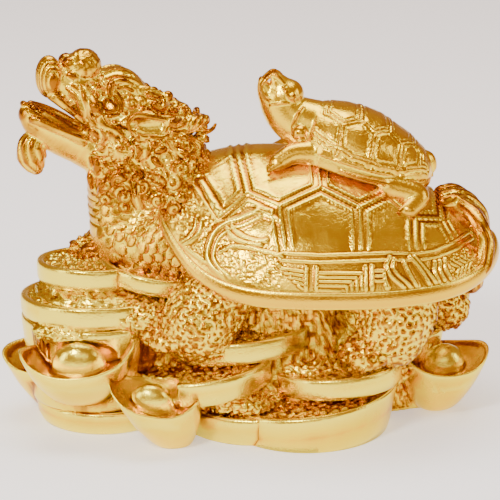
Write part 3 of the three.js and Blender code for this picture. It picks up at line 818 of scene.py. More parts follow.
# The bed of coins and ingots
# Coins: x, y, radius, height and thickness in coins, near side down, tail side down, foot's lean to the tail
COINS = [
    (-35.4, -3.5, 12.8, 7.2, 1.0, -5, 1, 0),
    (-21, -5.5, 12.5, 7, 0.8, -3, 10, 0),
    (-34.8, -4, 17.2, 5.7, 1, -5, 0, 0),
    (-33.3, -4.6, 15.7, 1.05, 1.05, 0, 0, 0),
    (-10.4, -13, 15.8, 3.2, 1.2, 1, -7, 0),
    (-2.5, -7, 16.8, 4.2, 1, -7, -6, 0),
    (13.6, -10.2, 20.2, 1.6, 2.4, -1, -7.5, -2.7),
    (19.6, -12, 14.5, 2.9, 1, -5, -5, 0),
    (-26, 13, 15, 3.8, 1.2, 4, -3, 0),
    (-5, 15, 17, 2.2, 2.2, 4, 2, 0),
    (17, 14, 18, 1.8, 2.2, 4, -4, 0),
    (-34.9, -4, 17.1, 4.8, 3.9, -2, 0, 0),
    (34, 7, 11, 3.5, 3.5, 0, 3, 0),
    (2.6, -7.8, 19, 1.3, 1.3, 0, -3, -1),
]
# Heaps of gravel between the coins: centre and radii
HEAPS = [
    ((-34.6, -4, 29.2), (13.5, 14, 4)), ((-38, -13.5, 23.6), (10, 7, 3.2)), ((-24, -12, 27), (9, 8, 4)),
    ((-8, -12, 20.8), (12.5, 11, 2.4)), ((14, -9, 14.2), (10, 9, 2.6)), ((-1, -16, 8.2), (9, 8, 2.8)),
    ((25, -7, 11), (10, 9, 5)), ((-27, 8, 24), (12, 14, 4)), ((6, 14, 12), (18, 14, 3)),
]
RIM_WIDTH = 1.5
RECESS = 0.75  # how far a coin's face lies under its rim
GRAVEL_STEP = 0.3  # between the rows of a coin's face
# Ingots: x, y, length, width, height and depth in coins, yaw, near side down, tail side down, foot's lean
INGOTS = [
    (-43.2, -5.4, 26.2, 18.6, 3.05, 3.2, -6, 12, -20, -2.4),
    (-38, -20.4, 26, 17, 3.59, 1.9, 0, 10, -5, 0),
    (-21.6, -26.6, 20.6, 14.5, 2.3, 2.15, 0, 16, 11, 6),
    (44.4, -3.4, 20.6, 18, 2.42, 2.25, 10, 7, 0, -1.8),
    (-30, 21, 25, 16, 2.5, 2.7, -30, -10, 0, 0),
    (30, 23, 23, 15, 2.2, 2.5, -20, -10, 0, 0),
]
HORN, BUMP_FOOT, BUMP_RISE = 0.13, -0.075, 0.25  # shares of an ingot's length
# Hollows in the stack of coins that leave the near ingots' bumps in sight: centre and radii
NICHES = [((-38.4, -22.4, 18.8), (11, 5.2, 4.6)), ((-22.6, -25.6, 14.2), (7.2, 5.6, 4.2))]


def circle(count):
    """Places round a circle of radius 1."""
    angles = np.linspace(0, 2 * math.pi, count + 1)[:-1]
    return np.column_stack([np.cos(angles), np.sin(angles), 0 * angles])


def gravel(x, y, seed, radius):
    """The rough ground of a coin's face: crumbs of many sizes."""
    random = np.random.default_rng(seed)
    count = int(radius**2 * 4)
    spots = random.uniform(-radius, radius, (count, 2))
    sizes = random.uniform(0.3, 0.8, count)
    tall = sizes * random.uniform(0.5, 1.15, count)
    height = np.zeros_like(x)
    for (sx, sy), size, rise in zip(spots, sizes, tall):
        away = ((x - sx) ** 2 + (y - sy) ** 2) / size**2
        height = np.maximum(height, rise * np.sqrt(np.maximum(0, 1 - away)))
    return height


def coin_section(radius, thickness, layers):
    """A coin's rim, wall and foot: distance from the axis, and height."""
    face = radius - RIM_WIDTH
    taper = 0.1 * thickness if layers > 1 else 0.1
    foot = radius - taper
    section = [(face, -0.25), (face + 0.18, -0.05), (face + 0.45, 0), (radius - 0.55, 0.0)]
    section += [(radius - 0.22, -0.12), (radius - 0.02, -0.5), (radius, -1.2)]
    section += [(radius - taper * t, -thickness * t) for t in (0.4, 0.7)]
    return section + [(foot - back, lift - thickness) for back, lift in ((0.2, 0.9), (0.5, 0.25), (1.1, 0))]


def coin_object(index, row):
    """A coin with a gravelled face in a rim, and dents in its wall."""
    x, y, radius, top, layers, near_down, tail_down, lean = row
    thickness = layers * COIN
    face = radius - RIM_WIDTH
    around = circle(260)
    rows = []
    for r in np.linspace(0.3, face - 0.15, int(face / GRAVEL_STEP)):
        fade = min(1.0, (face - r) / 0.5)
        crumbs = gravel(r * around[:, 0], r * around[:, 1], 40 + index, radius)
        rows.append(r * around + np.outer(-RECESS + crumbs * fade + (1 - fade) * 0.2, UP))
    rows += [r * around + z * UP for r, z in coin_section(radius, thickness, layers)]
    points, triangles, quads = closed_rows(rows, -RECESS * UP, -thickness * UP)
    dent = lattice_noise(points + 7.3 * index, 5.0, 21) * 0.1
    dent += lattice_noise(points + 3.1 * index, 1.6, 22) * 0.035
    away = units(points * (1, 1, 0))
    edge = smooth_step((np.hypot(points[:, 0], points[:, 1]) - face) / RIM_WIDTH)
    points = points + away * (dent * edge)[:, None]
    points[:, 0] += lean * np.maximum(-points[:, 2] / thickness, 0)
    points = points @ turn_matrix(near_down, tail_down).T + np.array([x, y, top * COIN])
    return make_object(f"coin_{index}", points, triangles, quads)


def ingot_section():
    """The hull, and the rim, hollow and bump: shares of the reach, and of the depth or the length."""
    hull = [(0.3, -1.0), (0.46, -0.97), (0.6, -0.84), (0.74, -0.64), (0.86, -0.43), (0.95, -0.2)]
    hull, _ = smooth_path(hull + [(0.995, -0.05)], 4)
    well, _ = smooth_path([(0.88, -0.02), (0.78, -0.045), (0.66, -0.072), (0.52, -0.085)], 4)
    rim = [(1.0, 0.004), (0.985, 0.014), (0.955, 0.012), (0.925, -0.004)]
    turn = np.linspace(0.02, math.pi / 2 - 0.02, 20)
    bump = [(0.47 * math.cos(a), BUMP_FOOT + BUMP_RISE * math.sin(a)) for a in turn]
    return hull.tolist(), rim + well.tolist() + bump


def ingot_object(index, row):
    """A boat-shaped ingot, whose two ends rise, with a bump in its hollow."""
    x, y, length, width, top, layers, yaw, near_down, tail_down, lean = row
    depth = layers * COIN
    around = circle(144)
    hull, hollow = ingot_section()
    rows = []
    for r, z in [(r, z * depth) for r, z in hull] + [(r, z * length) for r, z in hollow]:
        layer = r * around * (length / 2, width / 2, 0)
        layer[:, 0] += lean * max(-z / depth, 0)
        layer[:, 2] = z + HORN * length * np.abs(around[:, 0]) ** 3 * r**3
        rows.append(layer)
    crown = (BUMP_FOOT + BUMP_RISE) * length * UP
    points, triangles, quads = closed_rows(rows[::-1], crown, np.array([lean, 0, -depth]))
    points = points + lattice_noise(points + 5.7 * index, 4.0, 31)[:, None] * np.array([0.05, 0.05, 0.08])
    points = points @ turn_matrix(near_down, tail_down, yaw).T + np.array([x, y, top * COIN])
    return make_object(f"ingot_{index}", points, triangles, quads)


def roughened(points, centre, radii, rough):
    """The points of a rounded form, each moved out of it by so much."""
    return points + units((points - centre) / np.array(radii) ** 2) * rough[:, None]


MOUND_LENGTH, MOUND_WIDTH, MOUND_HEIGHT = 42.0, 21.0, 5 * COIN  # half length, half width
# The mound's section, as shares of its reach and height
MOUND_SECTION = [(1.0, 0.0), (0.95, 0.25), (0.86, 0.56), (0.66, 0.95), (0.46, 1.18), (0.05, 1.22)]


def mound_object():
    """The rough mound that the coins lie on, narrower under the tail's near side."""
    around = circle(400)
    outline, _ = smooth_path(MOUND_SECTION, 12)
    rows = [around * (MOUND_LENGTH * r, MOUND_WIDTH * r, 0) + MOUND_HEIGHT * z * UP for r, z in outline]
    points, triangles, quads = closed_rows(rows[::-1], MOUND_SECTION[-1][1] * MOUND_HEIGHT * UP, -2.0 * UP)
    rough = np.abs(lattice_noise(points, 0.9, 61)) * 1.1 + lattice_noise(points, 4, 62) * 0.6
    points = roughened(points, 0.0, (MOUND_LENGTH, MOUND_WIDTH, 30.0), rough)
    points[:, 1] *= np.where(points[:, 1] < 0, 1 - 0.6 * smooth_step((points[:, 0] - 18) / 16), 1)
    points = points + np.array([0, 1, 0])
    return make_object("mound", points, triangles, quads)


def cube_object(name, low, high):
    corners = [(x, y, z) for x in (low[0], high[0]) for y in (low[1], high[1]) for z in (low[2], high[2])]
    faces = [(0, 1, 3, 2), (4, 6, 7, 5), (0, 4, 5, 1), (2, 3, 7, 6), (0, 2, 6, 4), (1, 5, 7, 3)]
    return make_object(name, np.array(corners, float), faces)


def ball_object(name, centre, radii, around=48, rings=24):
    rows = []
    for tilt in np.linspace(0, math.pi, rings + 2)[1:-1]:
        rows.append((circle(around) * math.sin(tilt) + math.cos(tilt) * UP) * radii + centre)
    points, triangles, quads = closed_rows(rows, centre + UP * radii, centre - UP * radii)
    return make_object(name, points, triangles, quads)


def heap_object(index, centre, radii):
    """A low heap of gravel."""
    heap = ball_object(f"heap_{index}", centre, radii, around=120, rings=52)
    points = read_rows(heap.data.vertices, "co", 3) / MM
    rough = np.abs(lattice_noise(points, 0.55, 65 + index)) * 1.1
    rough += np.abs(lattice_noise(points, 1.5, 75 + index)) * 0.8
    heap.data.vertices.foreach_set("co", (roughened(points, centre, radii, rough) * MM).ravel())
    return heap


def combine(base, others, operation):
    """Joins the others to the base, or cuts them out of it."""
    for other in others:
        step = base.modifiers.new("combine", "BOOLEAN")
        step.operation = operation
        step.solver = "MANIFOLD"
        step.object = other
        apply_modifiers(base)
        bpy.data.objects.remove(other)
    return base


def bed_painted_light_and_shade(points):
    """More painted shade under the shell and low down on the walls, and painted light in the ingots' hollows
    and the niches.
    """
    # Painted shade towards the back under the shell, and painted shade low on the walls
    painted_shade_shift = 0.1 * smooth_step((points[:, 1] + 24) / 8) + 0.14 * smooth_step((17 - points[:, 2]) / 12)
    # Painted light in the ingots' hollows
    for x, y, length, width, top, *_ in INGOTS:
        within = ((points[:, 0] - x) / (0.44 * length)) ** 2 + ((points[:, 1] - y) / (0.44 * width)) ** 2 < 1
        painted_shade_shift[within & (points[:, 2] > top * COIN - 5)] = -0.5
    # Painted light in the niches in the stack of coins
    for centre, radii in NICHES:
        offset = (points - np.array(centre)) / (np.array(radii) + 0.3)
        painted_shade_shift[(offset**2).sum(1) < 1] = -0.5
    return painted_shade_shift


def bed():
    base = mound_object()
    coins = [coin_object(i, row) for i, row in enumerate(COINS)]
    ingots = [ingot_object(i, row) for i, row in enumerate(INGOTS)]
    heaps = [heap_object(i, *row) for i, row in enumerate(HEAPS)]
    combine(base, coins + heaps, "UNION")
    combine(base, [ball_object(f"niche_{i}", *row) for i, row in enumerate(NICHES)], "DIFFERENCE")
    combine(base, ingots, "UNION")
    combine(base, [cube_object("table", (-90, -90, -40), (90, 90, 0))], "DIFFERENCE")
    base.name = "coins_and_ingots"
    return finish_piece(base, times=6, depth=0.26, painted_shade_shift=bed_painted_light_and_shade)


# The head, drawn in its own frame: x along the snout, y to the near side, z up.
HEAD_PLACE = np.array([-28.0, -1.0, 66.0])
HEAD_TURN = turn_matrix(0, 0, 198) @ turn_matrix(0, -28)


def head(x, y, z):
    """A place in the head's own frame, taken to the figure's."""
    return HEAD_TURN @ np.array([x, y, z], float) + HEAD_PLACE


def head_line(points, side=1):
    """A line drawn in the head's frame, or with -1 its mirror image."""
    return [head(x, y * side, z) for x, y, z in points]


def other_side(place):
    """The mirror image of a place on the head."""
    local = HEAD_TURN.T @ (place - HEAD_PLACE)
    return head(local[0], -local[1], local[2])


def head_ball(clay, x, y, z, radii, blend=0.8, cut=False):
    clay.ball(head(x, y, z), radii, HEAD_TURN, blend, cut)


def upper_lip(clay):
    """A lobe that is tipped forward, with grooves over it."""
    tilt = HEAD_TURN @ turn_matrix(0, 25)
    clay.ball(head(21.4, 0, 4.0), (2.9, 4.6, 4.75), tilt, 0.4)
    turn = np.radians(np.linspace(-60, 160, 9))
    for y in (-3.4, -2.3, -1.2, 0.0, 1.2, 2.3, 3.4, 4.2):
        share = math.sqrt(1 - (y / 4.65) ** 2)
        groove = round_path(head(21.4, y, 4.0), 2.95 * tilt[:, 0], 4.8 * tilt[:, 2], share, turn)
        clay.strand(groove, [0.12, 0.26, 0.32, 0.34, 0.34, 0.34, 0.32, 0.26, 0.12], 0.2, cut=True)


def upper_head(clay):
    """The skull, the snout with its lip and nose, the brows and the cheeks."""
    head_ball(clay, 3, 0, 3, (9.5, 8, 8.6))
    head_ball(clay, 5.4, 0, 7.2, (6.6, 6.0, 5.6))
    snout = head_line([(6, 0, 3.6), (12, 0, 4.8), (17.5, 0, 4.4), (20.3, 0, 4.2)])
    clay.strand(snout, [6.4, 5.2, 3.9, 3.0], 0.8)
    upper_lip(clay)
    head_ball(clay, 15.4, 0.4, 9.3, (3.9, 4.3, 4.0), 0.15)
    for side in (-1, 1):
        head_ball(clay, 19.0, 1.6 * side, 8.6, 1.7, 0.15)
        head_ball(clay, 8.4, 4.2 * side, 4.4, (2.8, 2.3, 2.5), 0.5)
        crest = head_line([(-1.6, 5.6, 4.9), (-6, 5.4, 6.2), (-10, 5, 7.4), (-13.6, 4, 8.4)], side)
        clay.strand(crest, [1.4, 1.9, 1.8, 1.3], 0.4)
        clay.strand(head_line([(16, 4.2, 4.6), (11, 5.6, 0.4), (2, 7.6, -3.6)], side), [1.0, 1.4, 1.6], 1.2)


def lower_jaw(clay):
    """The lower jaw, before the mouth is cut."""
    jaw = head_line([(2, 0, -6), (8, 0, -6.6), (13.5, 0, -6.9), (18.4, 0, -6.2), (21.2, 0, -5.2)])
    clay.strand(jaw, [6, 4.8, 4.3, 3.8, 2.9], 1.0)


# The lower jaw's rims: how far out and how high. The mouth's gap: along, height and radius.
JAW_RIMS = [(4.0, -5.5), (-4.2, -3.4)]
MOUTH = [(9.2, -3.3, 1.1), (13, -3.1, 1.1), (18, -2.4, 1.1), (23, -1.9, 1.1), (29, -1.9, 1.7)]


def open_mouth(clay):
    """The gap between the jaws, as wide as the head, with a trough in the lower one and the tongue in it."""
    radii = [radius for _, _, radius in MOUTH]
    for y in np.arange(-9, 9.1, 0.9):
        for drop in (0.8, 0.0) if y > 1 else (0.0,):
            clay.strand([head(x, y, z - drop) for x, z, _ in MOUTH], radii, 0, cut=True)
    clay.strand(head_line([(9, -3.6, -4.8), (14, -3.5, -4.6), (19, -3.2, -4.2)]), [1.2, 1.2, 1.0], 0.3)
    for y, z in JAW_RIMS:
        rim = head_line([(9, 1.08 * y, z - 0.4), (13.5, 1.04 * y, z), (18, y, z), (21.4, 0.72 * y, z - 0.2)])
        clay.strand(rim, [0.9, 1.0, 1.0, 0.9], 0.3)
    head_ball(clay, 15, 0.4, -4.0, (8.2, 2.9, 2.5), 0.15, cut=True)
    head_ball(clay, 12.5, 0, -1.4, (5.4, 3.2, 2.2), 0.3, cut=True)
    for side in (-1, 1):
        edge = head_line([(20, 2.88, 0.4), (17.2, 3.6, 0.0), (14, 3.816, -0.6), (10.5, 4.032, -1.5)], side)
        clay.strand(edge, [0.7, 0.85, 0.85, 0.7], 0.3)
    clay.strand(head_line([(8, 0, -6.8), (13, 0, -6.9), (17.6, 0, -6.0)]), [1.8, 1.6, 0.9], 0.3)


def beard(clay):
    """The tuft under the chin."""
    lock = head_line([(17.2, 0, -9.2), (17.9, 0, -11.4), (16.8, 0, -13.8), (14.9, 0, -15.6)])
    clay.rope(lock, [2.4, 3.3, 3.4, 2.2], strands=10, twist=0.3, depth=0.28, blend=0.3)


# Strands that lie on the face, on both sides: pixels, radii and lift
FACE_STRANDS = [
    ([(73, 86), (80, 93), (83, 103), (84.6, 113), (85.5, 121)], [0.4, 0.55, 0.55, 0.55, 0.35], 0.35),
    ([(67, 88), (75, 93.5), (80, 101), (81.5, 110)], [0.35, 0.5, 0.5, 0.3], 0.25),
    ([(54, 96), (61, 101), (68, 107), (75, 113.5)], [0.35, 0.5, 0.5, 0.35], 0.15),
    ([(80.5, 86), (83.3, 97), (85.8, 107), (88.6, 116), (95, 124.5), (103, 130)],
     [0.4, 0.6, 0.6, 0.6, 0.5, 0.3], 0.5),
    ([(85, 87), (87.6, 97), (90, 107), (95, 116.5), (103, 124), (111.5, 130), (120, 136), (126, 143)],
     [0.6, 1.0, 1.05, 1.0, 0.95, 0.85, 0.65, 0.4], 1.2),
    ([(28, 113), (43, 122.5), (60, 130), (77, 137), (91, 141.5)], [0.2, 0.28, 0.28, 0.28, 0.2], 0.1),
    ([(103, 95), (111, 92), (117.5, 97), (121, 104), (121, 111)], [0.5, 0.75, 0.8, 0.75, 0.45], 0.7),
    ([(96, 114.5), (104, 115.5), (111, 116), (119, 114)], [0.35, 0.5, 0.5, 0.35], 0.5),
    ([(130, 86), (121, 82.5), (114.5, 83.5), (110.5, 88.5), (109.5, 93.5)],
     [0.55, 0.85, 0.9, 0.85, 0.5], 0.75),
    ([(132, 91), (125, 87.8), (118.5, 88.3)], [0.4, 0.55, 0.4], 0.55),
    ([(107, 79), (116, 76.5), (127, 78.5), (138, 83.5)], [0.3, 0.45, 0.45, 0.3], 0.25),
    ([(104, 74), (113, 70.5), (124, 71.5), (134, 76)], [0.25, 0.35, 0.35, 0.25], 0.15),
    ([(103, 129), (106, 137), (103, 144), (97, 147)], [0.45, 0.7, 0.7, 0.45], 0.5),
    ([(109.5, 131), (112.5, 139.5), (108, 147), (98, 150.5)], [0.45, 0.75, 0.75, 0.45], 0.6),
    ([(93, 152), (103, 154.5), (112.5, 150.5), (116, 142)], [0.45, 0.7, 0.7, 0.45], 0.6),
    ([(91, 157), (101, 160), (109, 158), (116, 153)], [0.4, 0.6, 0.6, 0.4], 0.5),
]
# Flattened lumps on the face, on both sides: pixel, half lengths in pixels, lean in degrees, thickness
FACE_DABS = [
    (73, 76, 8, 5, 20, 1.0), (64.5, 97, 5, 3, 50, 0.9), (72, 102, 5, 3.2, 50, 0.9),
    (100.5, 76, 2.9, 2.9, 0, 0.8), (98, 86, 3.6, 2.7, 30, 0.8), (95.5, 96, 4, 3, 60, 0.9),
    (106, 84, 3.5, 2.6, 20, 0.7), (106, 121.5, 5.5, 3.2, 20, 1.0), (115, 122.5, 4, 3, 10, 0.9),
    (122, 123, 3.4, 2.8, 0, 0.9), (99, 121, 3.6, 2.6, 30, 0.8), (91, 124, 4, 2.6, 60, 0.8),
    (24.5, 105, 3.6, 3.2, 0, 0.9), (31, 105, 3.2, 2.8, 0, 0.8), (37, 107, 3.4, 2.4, 20, 0.7),
    (126, 104, 3.8, 3.0, 60, 0.9), (125, 113, 3.4, 2.8, 0, 0.8), (131, 97, 3.4, 2.6, 30, 0.8),
]
# The eye, its socket and the mouth's corner, in pixels
EYE, EYE_SOCKET, MOUTH_CORNER = (109.3, 105.6), (109, 105), (95.3, 133)
EYE_FACING, EYE_LEAN = unit([-0.19, -0.84, 0.51]), 45
# Pits in the face, on both sides: pixel and radius
FACE_PITS = [
    (97.5, 107, 1.2), (91.5, 86, 1.1), (65.5, 71, 0.9), (103, 80.5, 0.9), (122.5, 92.5, 0.8),
    (91.5, 92, 0.7),
]


def both_sides(place, normal):
    """A place and a direction on the head, and their mirror images."""
    far = other_side(place)
    return (place, normal), (far, other_side(place + normal) - far)


def dab(clay, px, py, long, wide, lean, thick, mirror=None, sink=0.0, cut=False, blend=0.15, facing=None):
    """A flattened lump where a pixel meets the clay: half lengths in pixels, lean in the picture."""
    place, normal = clay.seen(px, py)
    if place is None:
        return
    facing = unit(normal - 0.35 * sight(px, py)) if facing is None else facing
    across = unit(VIEW_RIGHT - facing * (VIEW_RIGHT @ facing))
    drop = -np.cross(facing, across)
    c, s = math.cos(math.radians(lean)), math.sin(math.radians(lean))
    turn = np.column_stack([c * across + s * drop, s * across - c * drop, facing])
    radii = (long * PIXEL, wide * PIXEL, thick)
    place = place - sink * facing
    clay.ball(place, radii, turn, blend, cut)
    if mirror is not None:
        far = mirror(place)
        turn = np.column_stack([mirror(place + turn[:, k]) - far for k in range(3)])
        clay.ball(far, radii, turn, blend, cut)


def lay_strands(clay, strands, mirror=None, blend=0.2):
    """Strands drawn on the photograph, laid on the clay."""
    for pixels, radii, lift in strands:
        line = clay.lay(pixels, lift)
        clay.strand(line, radii, blend)
        if mirror is not None:
            clay.strand(np.array([mirror(p) for p in line]), radii, blend)


def face(clay):
    """The eyes, brows, whiskers and cheeks, on both sides."""
    for row in FACE_DABS:
        dab(clay, *row, mirror=other_side)
    for px, py, radius in FACE_PITS:
        place, _ = clay.seen(px, py)
        for pit in (place, other_side(place)):
            clay.ball(pit, radius, blend=0.2, cut=True)
    dab(clay, *EYE_SOCKET, 10, 7.5, EYE_LEAN, 0.6, other_side, cut=True)
    dab(clay, *EYE, 7.5, 5.5, EYE_LEAN, 1.3, other_side, facing=EYE_FACING)
    dab(clay, *EYE, 9.2, 6.8, EYE_LEAN, 0.5, other_side, sink=0.1, facing=EYE_FACING)
    lay_strands(clay, FACE_STRANDS, other_side)
    corner, normal = clay.seen(*MOUTH_CORNER)
    for centre, facing in both_sides(corner, unit(normal)):
        ring(clay, centre + 0.45 * facing, facing, (1.0, 1.35), 0.45)
        clay.ball(centre + 0.3 * facing, (0.8, 0.8, 1.1), blend=0.1, cut=True)


def ring(clay, centre, facing, radii, tube):
    """A rounded ring that lies across a direction."""
    across, lift = plane_of(facing)
    path = round_path(centre, radii[0] * across, radii[1] * lift, 1.0, np.linspace(0, 2 * math.pi, 17))
    clay.strand(path, [tube] * len(path), 0.15, per_span=1)


# The ears: the rim's places along the head and over it, and how far out it lies
EAR_RIM = [(1.7, 1.6), (3.4, 2.5), (3.8, 4.1), (2.8, 5.6), (0.2, 6.3), (-2.6, 6.9), (-3.8, 7.0)]
EAR_RIM += [(-4.2, 5.3), (-3.6, 3.8), (-1.7, 2.1), (0.8, 1.3), (1.7, 1.6)]
EAR_OUT = 11.2


def ears(clay):
    """Leaf-shaped ears, hollow towards the side, in a thick rim."""
    for side in (-1, 1):
        leaf = head_line([(3.4, 7.8, 2.6), (1.2, 9.4, 3.5), (-1.6, 9.9, 4.5), (-3.4, 9.6, 5.4)], side)
        clay.strand(leaf, [1.4, 2.2, 2.2, 1.5], 0.3, squash=(HEAD_TURN @ unit([0.2, side, 0.1]), 1.7))
        rim = head_line([(x, EAR_OUT - 0.12 * abs(x + 0.5), z) for x, z in EAR_RIM], side)
        clay.strand(rim, [0.62] * len(rim), 0.2)
        hollow = head_line([(2.2, 11.6, 3.2), (-0.4, 11.8, 4.1), (-2.6, 11.7, 5.2)], side)
        clay.strand(hollow, [1.0, 1.5, 1.2], 0.15, cut=True)
        head_ball(clay, 2.5, 10.6 * side, 3.0, 1.1, 0.2, cut=True)


def horns(clay):
    """Short horns of three strands, each with a ball at its end."""
    for side, drop in ((1, 0.0), (-1, 1.4)):
        for sway, rise in ((0.0, 0.5), (0.8, -0.3), (-0.8, -0.2)):
            horn = [(3.4, 3.4, 10.0), (0.4, 4.2 + sway, 10.6 + rise), (-2.8, 4.6 + sway, 11.0 + 0.6 * rise)]
            clay.strand(head_line([(x, y, z - drop) for x, y, z in horn], side), [0.9, 0.75, 0.5], 0.2)
        head_ball(clay, -3.9, 4.7 * side, 11.4 - drop, 1.25, 0.15)


# The mane. Slices: height, middle x, half length and half width.
MANE_SLICES = [
    (44, -15.5, 3.5, 5), (46, -15.5, 6, 8), (51.6, -18.2, 7.8, 10.4), (62, -19.6, 7.4, 10.6),
    (69.4, -22.6, 6.4, 9.2), (74.6, -28, 3.6, 5.6), (76, -28.2, 2, 3),
]
MANE_SINK = 0.9  # how far the mane's ground lies below its curls
# Curls of the far side and the nape: degrees from the tail, below zero on the near flank, height, radius
MANE_CURLS = [
    (-158, 58, 3.0), (-6, 67, 2.6), (-2, 61, 3.2), (46, 66, 3.4), (48, 57, 4), (92, 63, 4.2), (112, 54, 4),
    (16, 53, 3.0), (78, 53, 3.0), (80, 70, 2.6), (130, 62, 3.2), (140, 54, 3.0),
]
# Mounds under the near side's curls: turn, height and radius
MANE_MOUNDS = [
    (-126, 64.6, 3.6), (-128, 56.6, 3.2), (-134, 50, 3.0), (-94, 69, 3.6), (-92, 60.6, 3.6),
    (-86, 52.6, 3.4), (-52, 66, 3.6), (-50, 57.4, 3.4),
]
# The near side's snails: pixel, radius, start in degrees, hand and turns
NEAR_CURLS = [
    (174, 180.5, 2.4, 100, -1, 1.7), (196.5, 185, 2.1, 60, 1, 1.5), (169.5, 199, 2.3, 160, 1, 1.6),
    (151, 202.5, 1.8, 0, -1, 1.4), (124, 206, 1.6, 90, 1, 1.3), (199.5, 139.5, 1.7, 0, 1, 1.0),
    (176, 166.5, 1.8, 300, -1, 1.4), (189, 167, 1.7, 30, 1, 1.4), (119, 177, 1.8, 60, 1, 1.4),
    (108, 185, 1.8, 200, -1, 1.4), (121, 192, 1.8, 180, -1, 1.4), (106, 199, 1.6, 20, 1, 1.3),
    (200, 157, 1.5, 100, 1, 1.2), (186, 208, 1.7, 0, -1, 1.4), (102, 172, 1.6, 140, 1, 1.3),
    (199, 203, 1.6, 220, 1, 1.3), (131, 104, 1.4, 0, 1, 1.3), (140, 103, 1.5, 90, -1, 1.3),
    (149.5, 105, 1.5, 200, 1, 1.3), (158, 105.5, 1.5, 300, -1, 1.3), (165, 108, 1.3, 60, 1, 1.3),
    (173, 107.5, 1.8, 200, -1, 1.4), (183, 193, 1.5, 40, 1, 1.3), (160, 172, 1.5, 250, -1, 1.3),
]
# Leaf-like lobes of the near side: pixel, half lengths in pixels, lean, thickness
NEAR_DABS = [
    (120, 150.5, 12, 11.5, 0, 0.7), (156, 141, 7.5, 5, -35, 1.2), (161, 151, 7, 4.2, -20, 1.2),
    (157.5, 162, 8, 4, 40, 1.2), (145.5, 169.5, 8, 4.4, 50, 1.3), (131, 171.5, 7, 4.2, 55, 1.3),
    (140, 150.5, 8, 12, 10, 1.2), (185, 147.5, 13, 10, 20, 1.2), (185, 109, 3.2, 3.2, 0, 0.9),
    (191.5, 111, 5, 5, 0, 1.3), (118, 167, 6, 3.4, 40, 1.1),
]
LOBE_RISE = 0.5
# Pits of the near side: pixel and radius
NEAR_PITS = [
    (186.5, 178, 1.4), (187, 188.5, 1.2), (200, 168, 1.2), (165, 159, 1.3), (181.5, 204, 1.1),
    (205, 183, 1.0), (166, 139, 0.9), (143, 196, 0.9), (130, 197, 0.8), (153, 189, 0.9), (113, 197, 0.8),
    (112, 176, 0.8),
]
# Locks of the near side, strand by strand: pixels, radii and lift
NEAR_STRANDS = [
    ([(167, 142), (172.5, 150), (180, 157), (188, 159.5), (195.5, 156), (198.5, 148), (195.5, 140.5),
     (188.5, 137), (182, 139.5), (179.5, 145.5), (182, 151.5), (187.5, 152.5), (191, 148.5), (188, 145)],
     [0.5, 0.8, 0.85, 0.85, 0.85, 0.85, 0.8, 0.75, 0.7, 0.68, 0.62, 0.6, 0.55, 0.35], 1.0),
    ([(171, 139), (176.5, 146.5), (182, 153.5), (188, 155.5)], [0.45, 0.7, 0.7, 0.35], 0.8),
    ([(175.5, 137), (178, 142), (180, 148)], [0.4, 0.6, 0.4], 0.7),
    ([(138, 138.5), (145, 142.5), (147.5, 151), (145, 159.5), (138, 163), (132.5, 158)],
     [0.45, 0.7, 0.8, 0.75, 0.6, 0.35], 0.5),
    ([(138, 138.5), (133, 144), (131.5, 152), (132.5, 158)], [0.45, 0.5, 0.5, 0.35], 0.4),
    ([(138, 146), (141, 151), (138, 157)], [0.35, 0.5, 0.35], 0.35),
    ([(136.5, 183), (137, 195), (140, 205), (145.5, 213)], [0.55, 0.85, 0.85, 0.45], 1.0),
    ([(145.5, 185), (147, 194), (150, 201)], [0.45, 0.7, 0.45], 0.8),
    ([(129, 181), (130, 191), (133, 201), (137, 210)], [0.45, 0.65, 0.65, 0.4], 0.8),
    ([(148, 177), (158, 182.5), (167, 188.5), (176, 191)], [0.45, 0.7, 0.7, 0.4], 0.8),
    ([(150, 184), (158, 189.5), (166, 195)], [0.4, 0.65, 0.4], 0.7),
    ([(151, 171), (160, 176), (167, 182)], [0.4, 0.65, 0.4], 0.7),
    ([(97, 160), (99, 170), (96.5, 181), (98, 192)], [0.6, 1.0, 1.0, 0.5], 0.7),
    ([(104, 176), (103, 185), (99.5, 193)], [0.5, 0.8, 0.45], 0.6),
    ([(103, 162), (108, 169), (113, 176)], [0.45, 0.65, 0.4], 0.6),
    ([(91, 158), (93, 167), (92, 177), (92.5, 187)], [0.5, 0.8, 0.8, 0.45], 0.55),
    ([(112, 161), (119, 167), (127, 168), (134, 164)], [0.4, 0.65, 0.65, 0.4], 0.6),
    ([(170, 132), (180, 130.5), (192, 131), (201, 131)], [0.4, 0.6, 0.6, 0.4], 0.6),
    ([(150, 137), (160, 138), (168, 134)], [0.35, 0.55, 0.35], 0.5),
    ([(202, 147), (203, 157), (201, 168)], [0.4, 0.65, 0.4], 0.6),
]


def mane_row(height):
    """The mane's middle, half length and half width at a height."""
    heights = [row[0] for row in MANE_SLICES]
    return [np.interp(height, heights, [row[k] for row in MANE_SLICES]) for k in (1, 2, 3)]


def mane_core(clay):
    spans = clay.window((-40, -15, 42), (-4, 15, 80))
    x, y, z = clay.places(spans)
    middle, length, width = mane_row(z.ravel())
    near = np.sqrt(((x - middle) / length) ** 2 + (y / width) ** 2)
    across = (near - 1) * np.minimum(length, width) + MANE_SINK
    cap = np.maximum(MANE_SLICES[0][0] - z, z - MANE_SLICES[-1][0])
    clay.join(spans, np.minimum(np.maximum(across, cap), FAR).astype(np.float32), 0.5)


def on_mane(turn, height):
    """A place on the mane and the direction that it faces."""
    middle, length, width = mane_row(height)
    c, s = math.cos(math.radians(turn)), math.sin(math.radians(turn))
    return np.array([middle + 0.97 * length * c, 0.97 * width * s, height]), unit([c / length, s / width, 0])


# The lock over the nape, and the middle of the round tuft on the cheek and its hairs' reaches, in pixels
NAPE_LOCK = [(169, 125.5), (180, 124.5), (191, 122.5), (201, 122)]
TUFT, TUFT_REACHES = (120, 150.5), (2, 5, 8, 11)


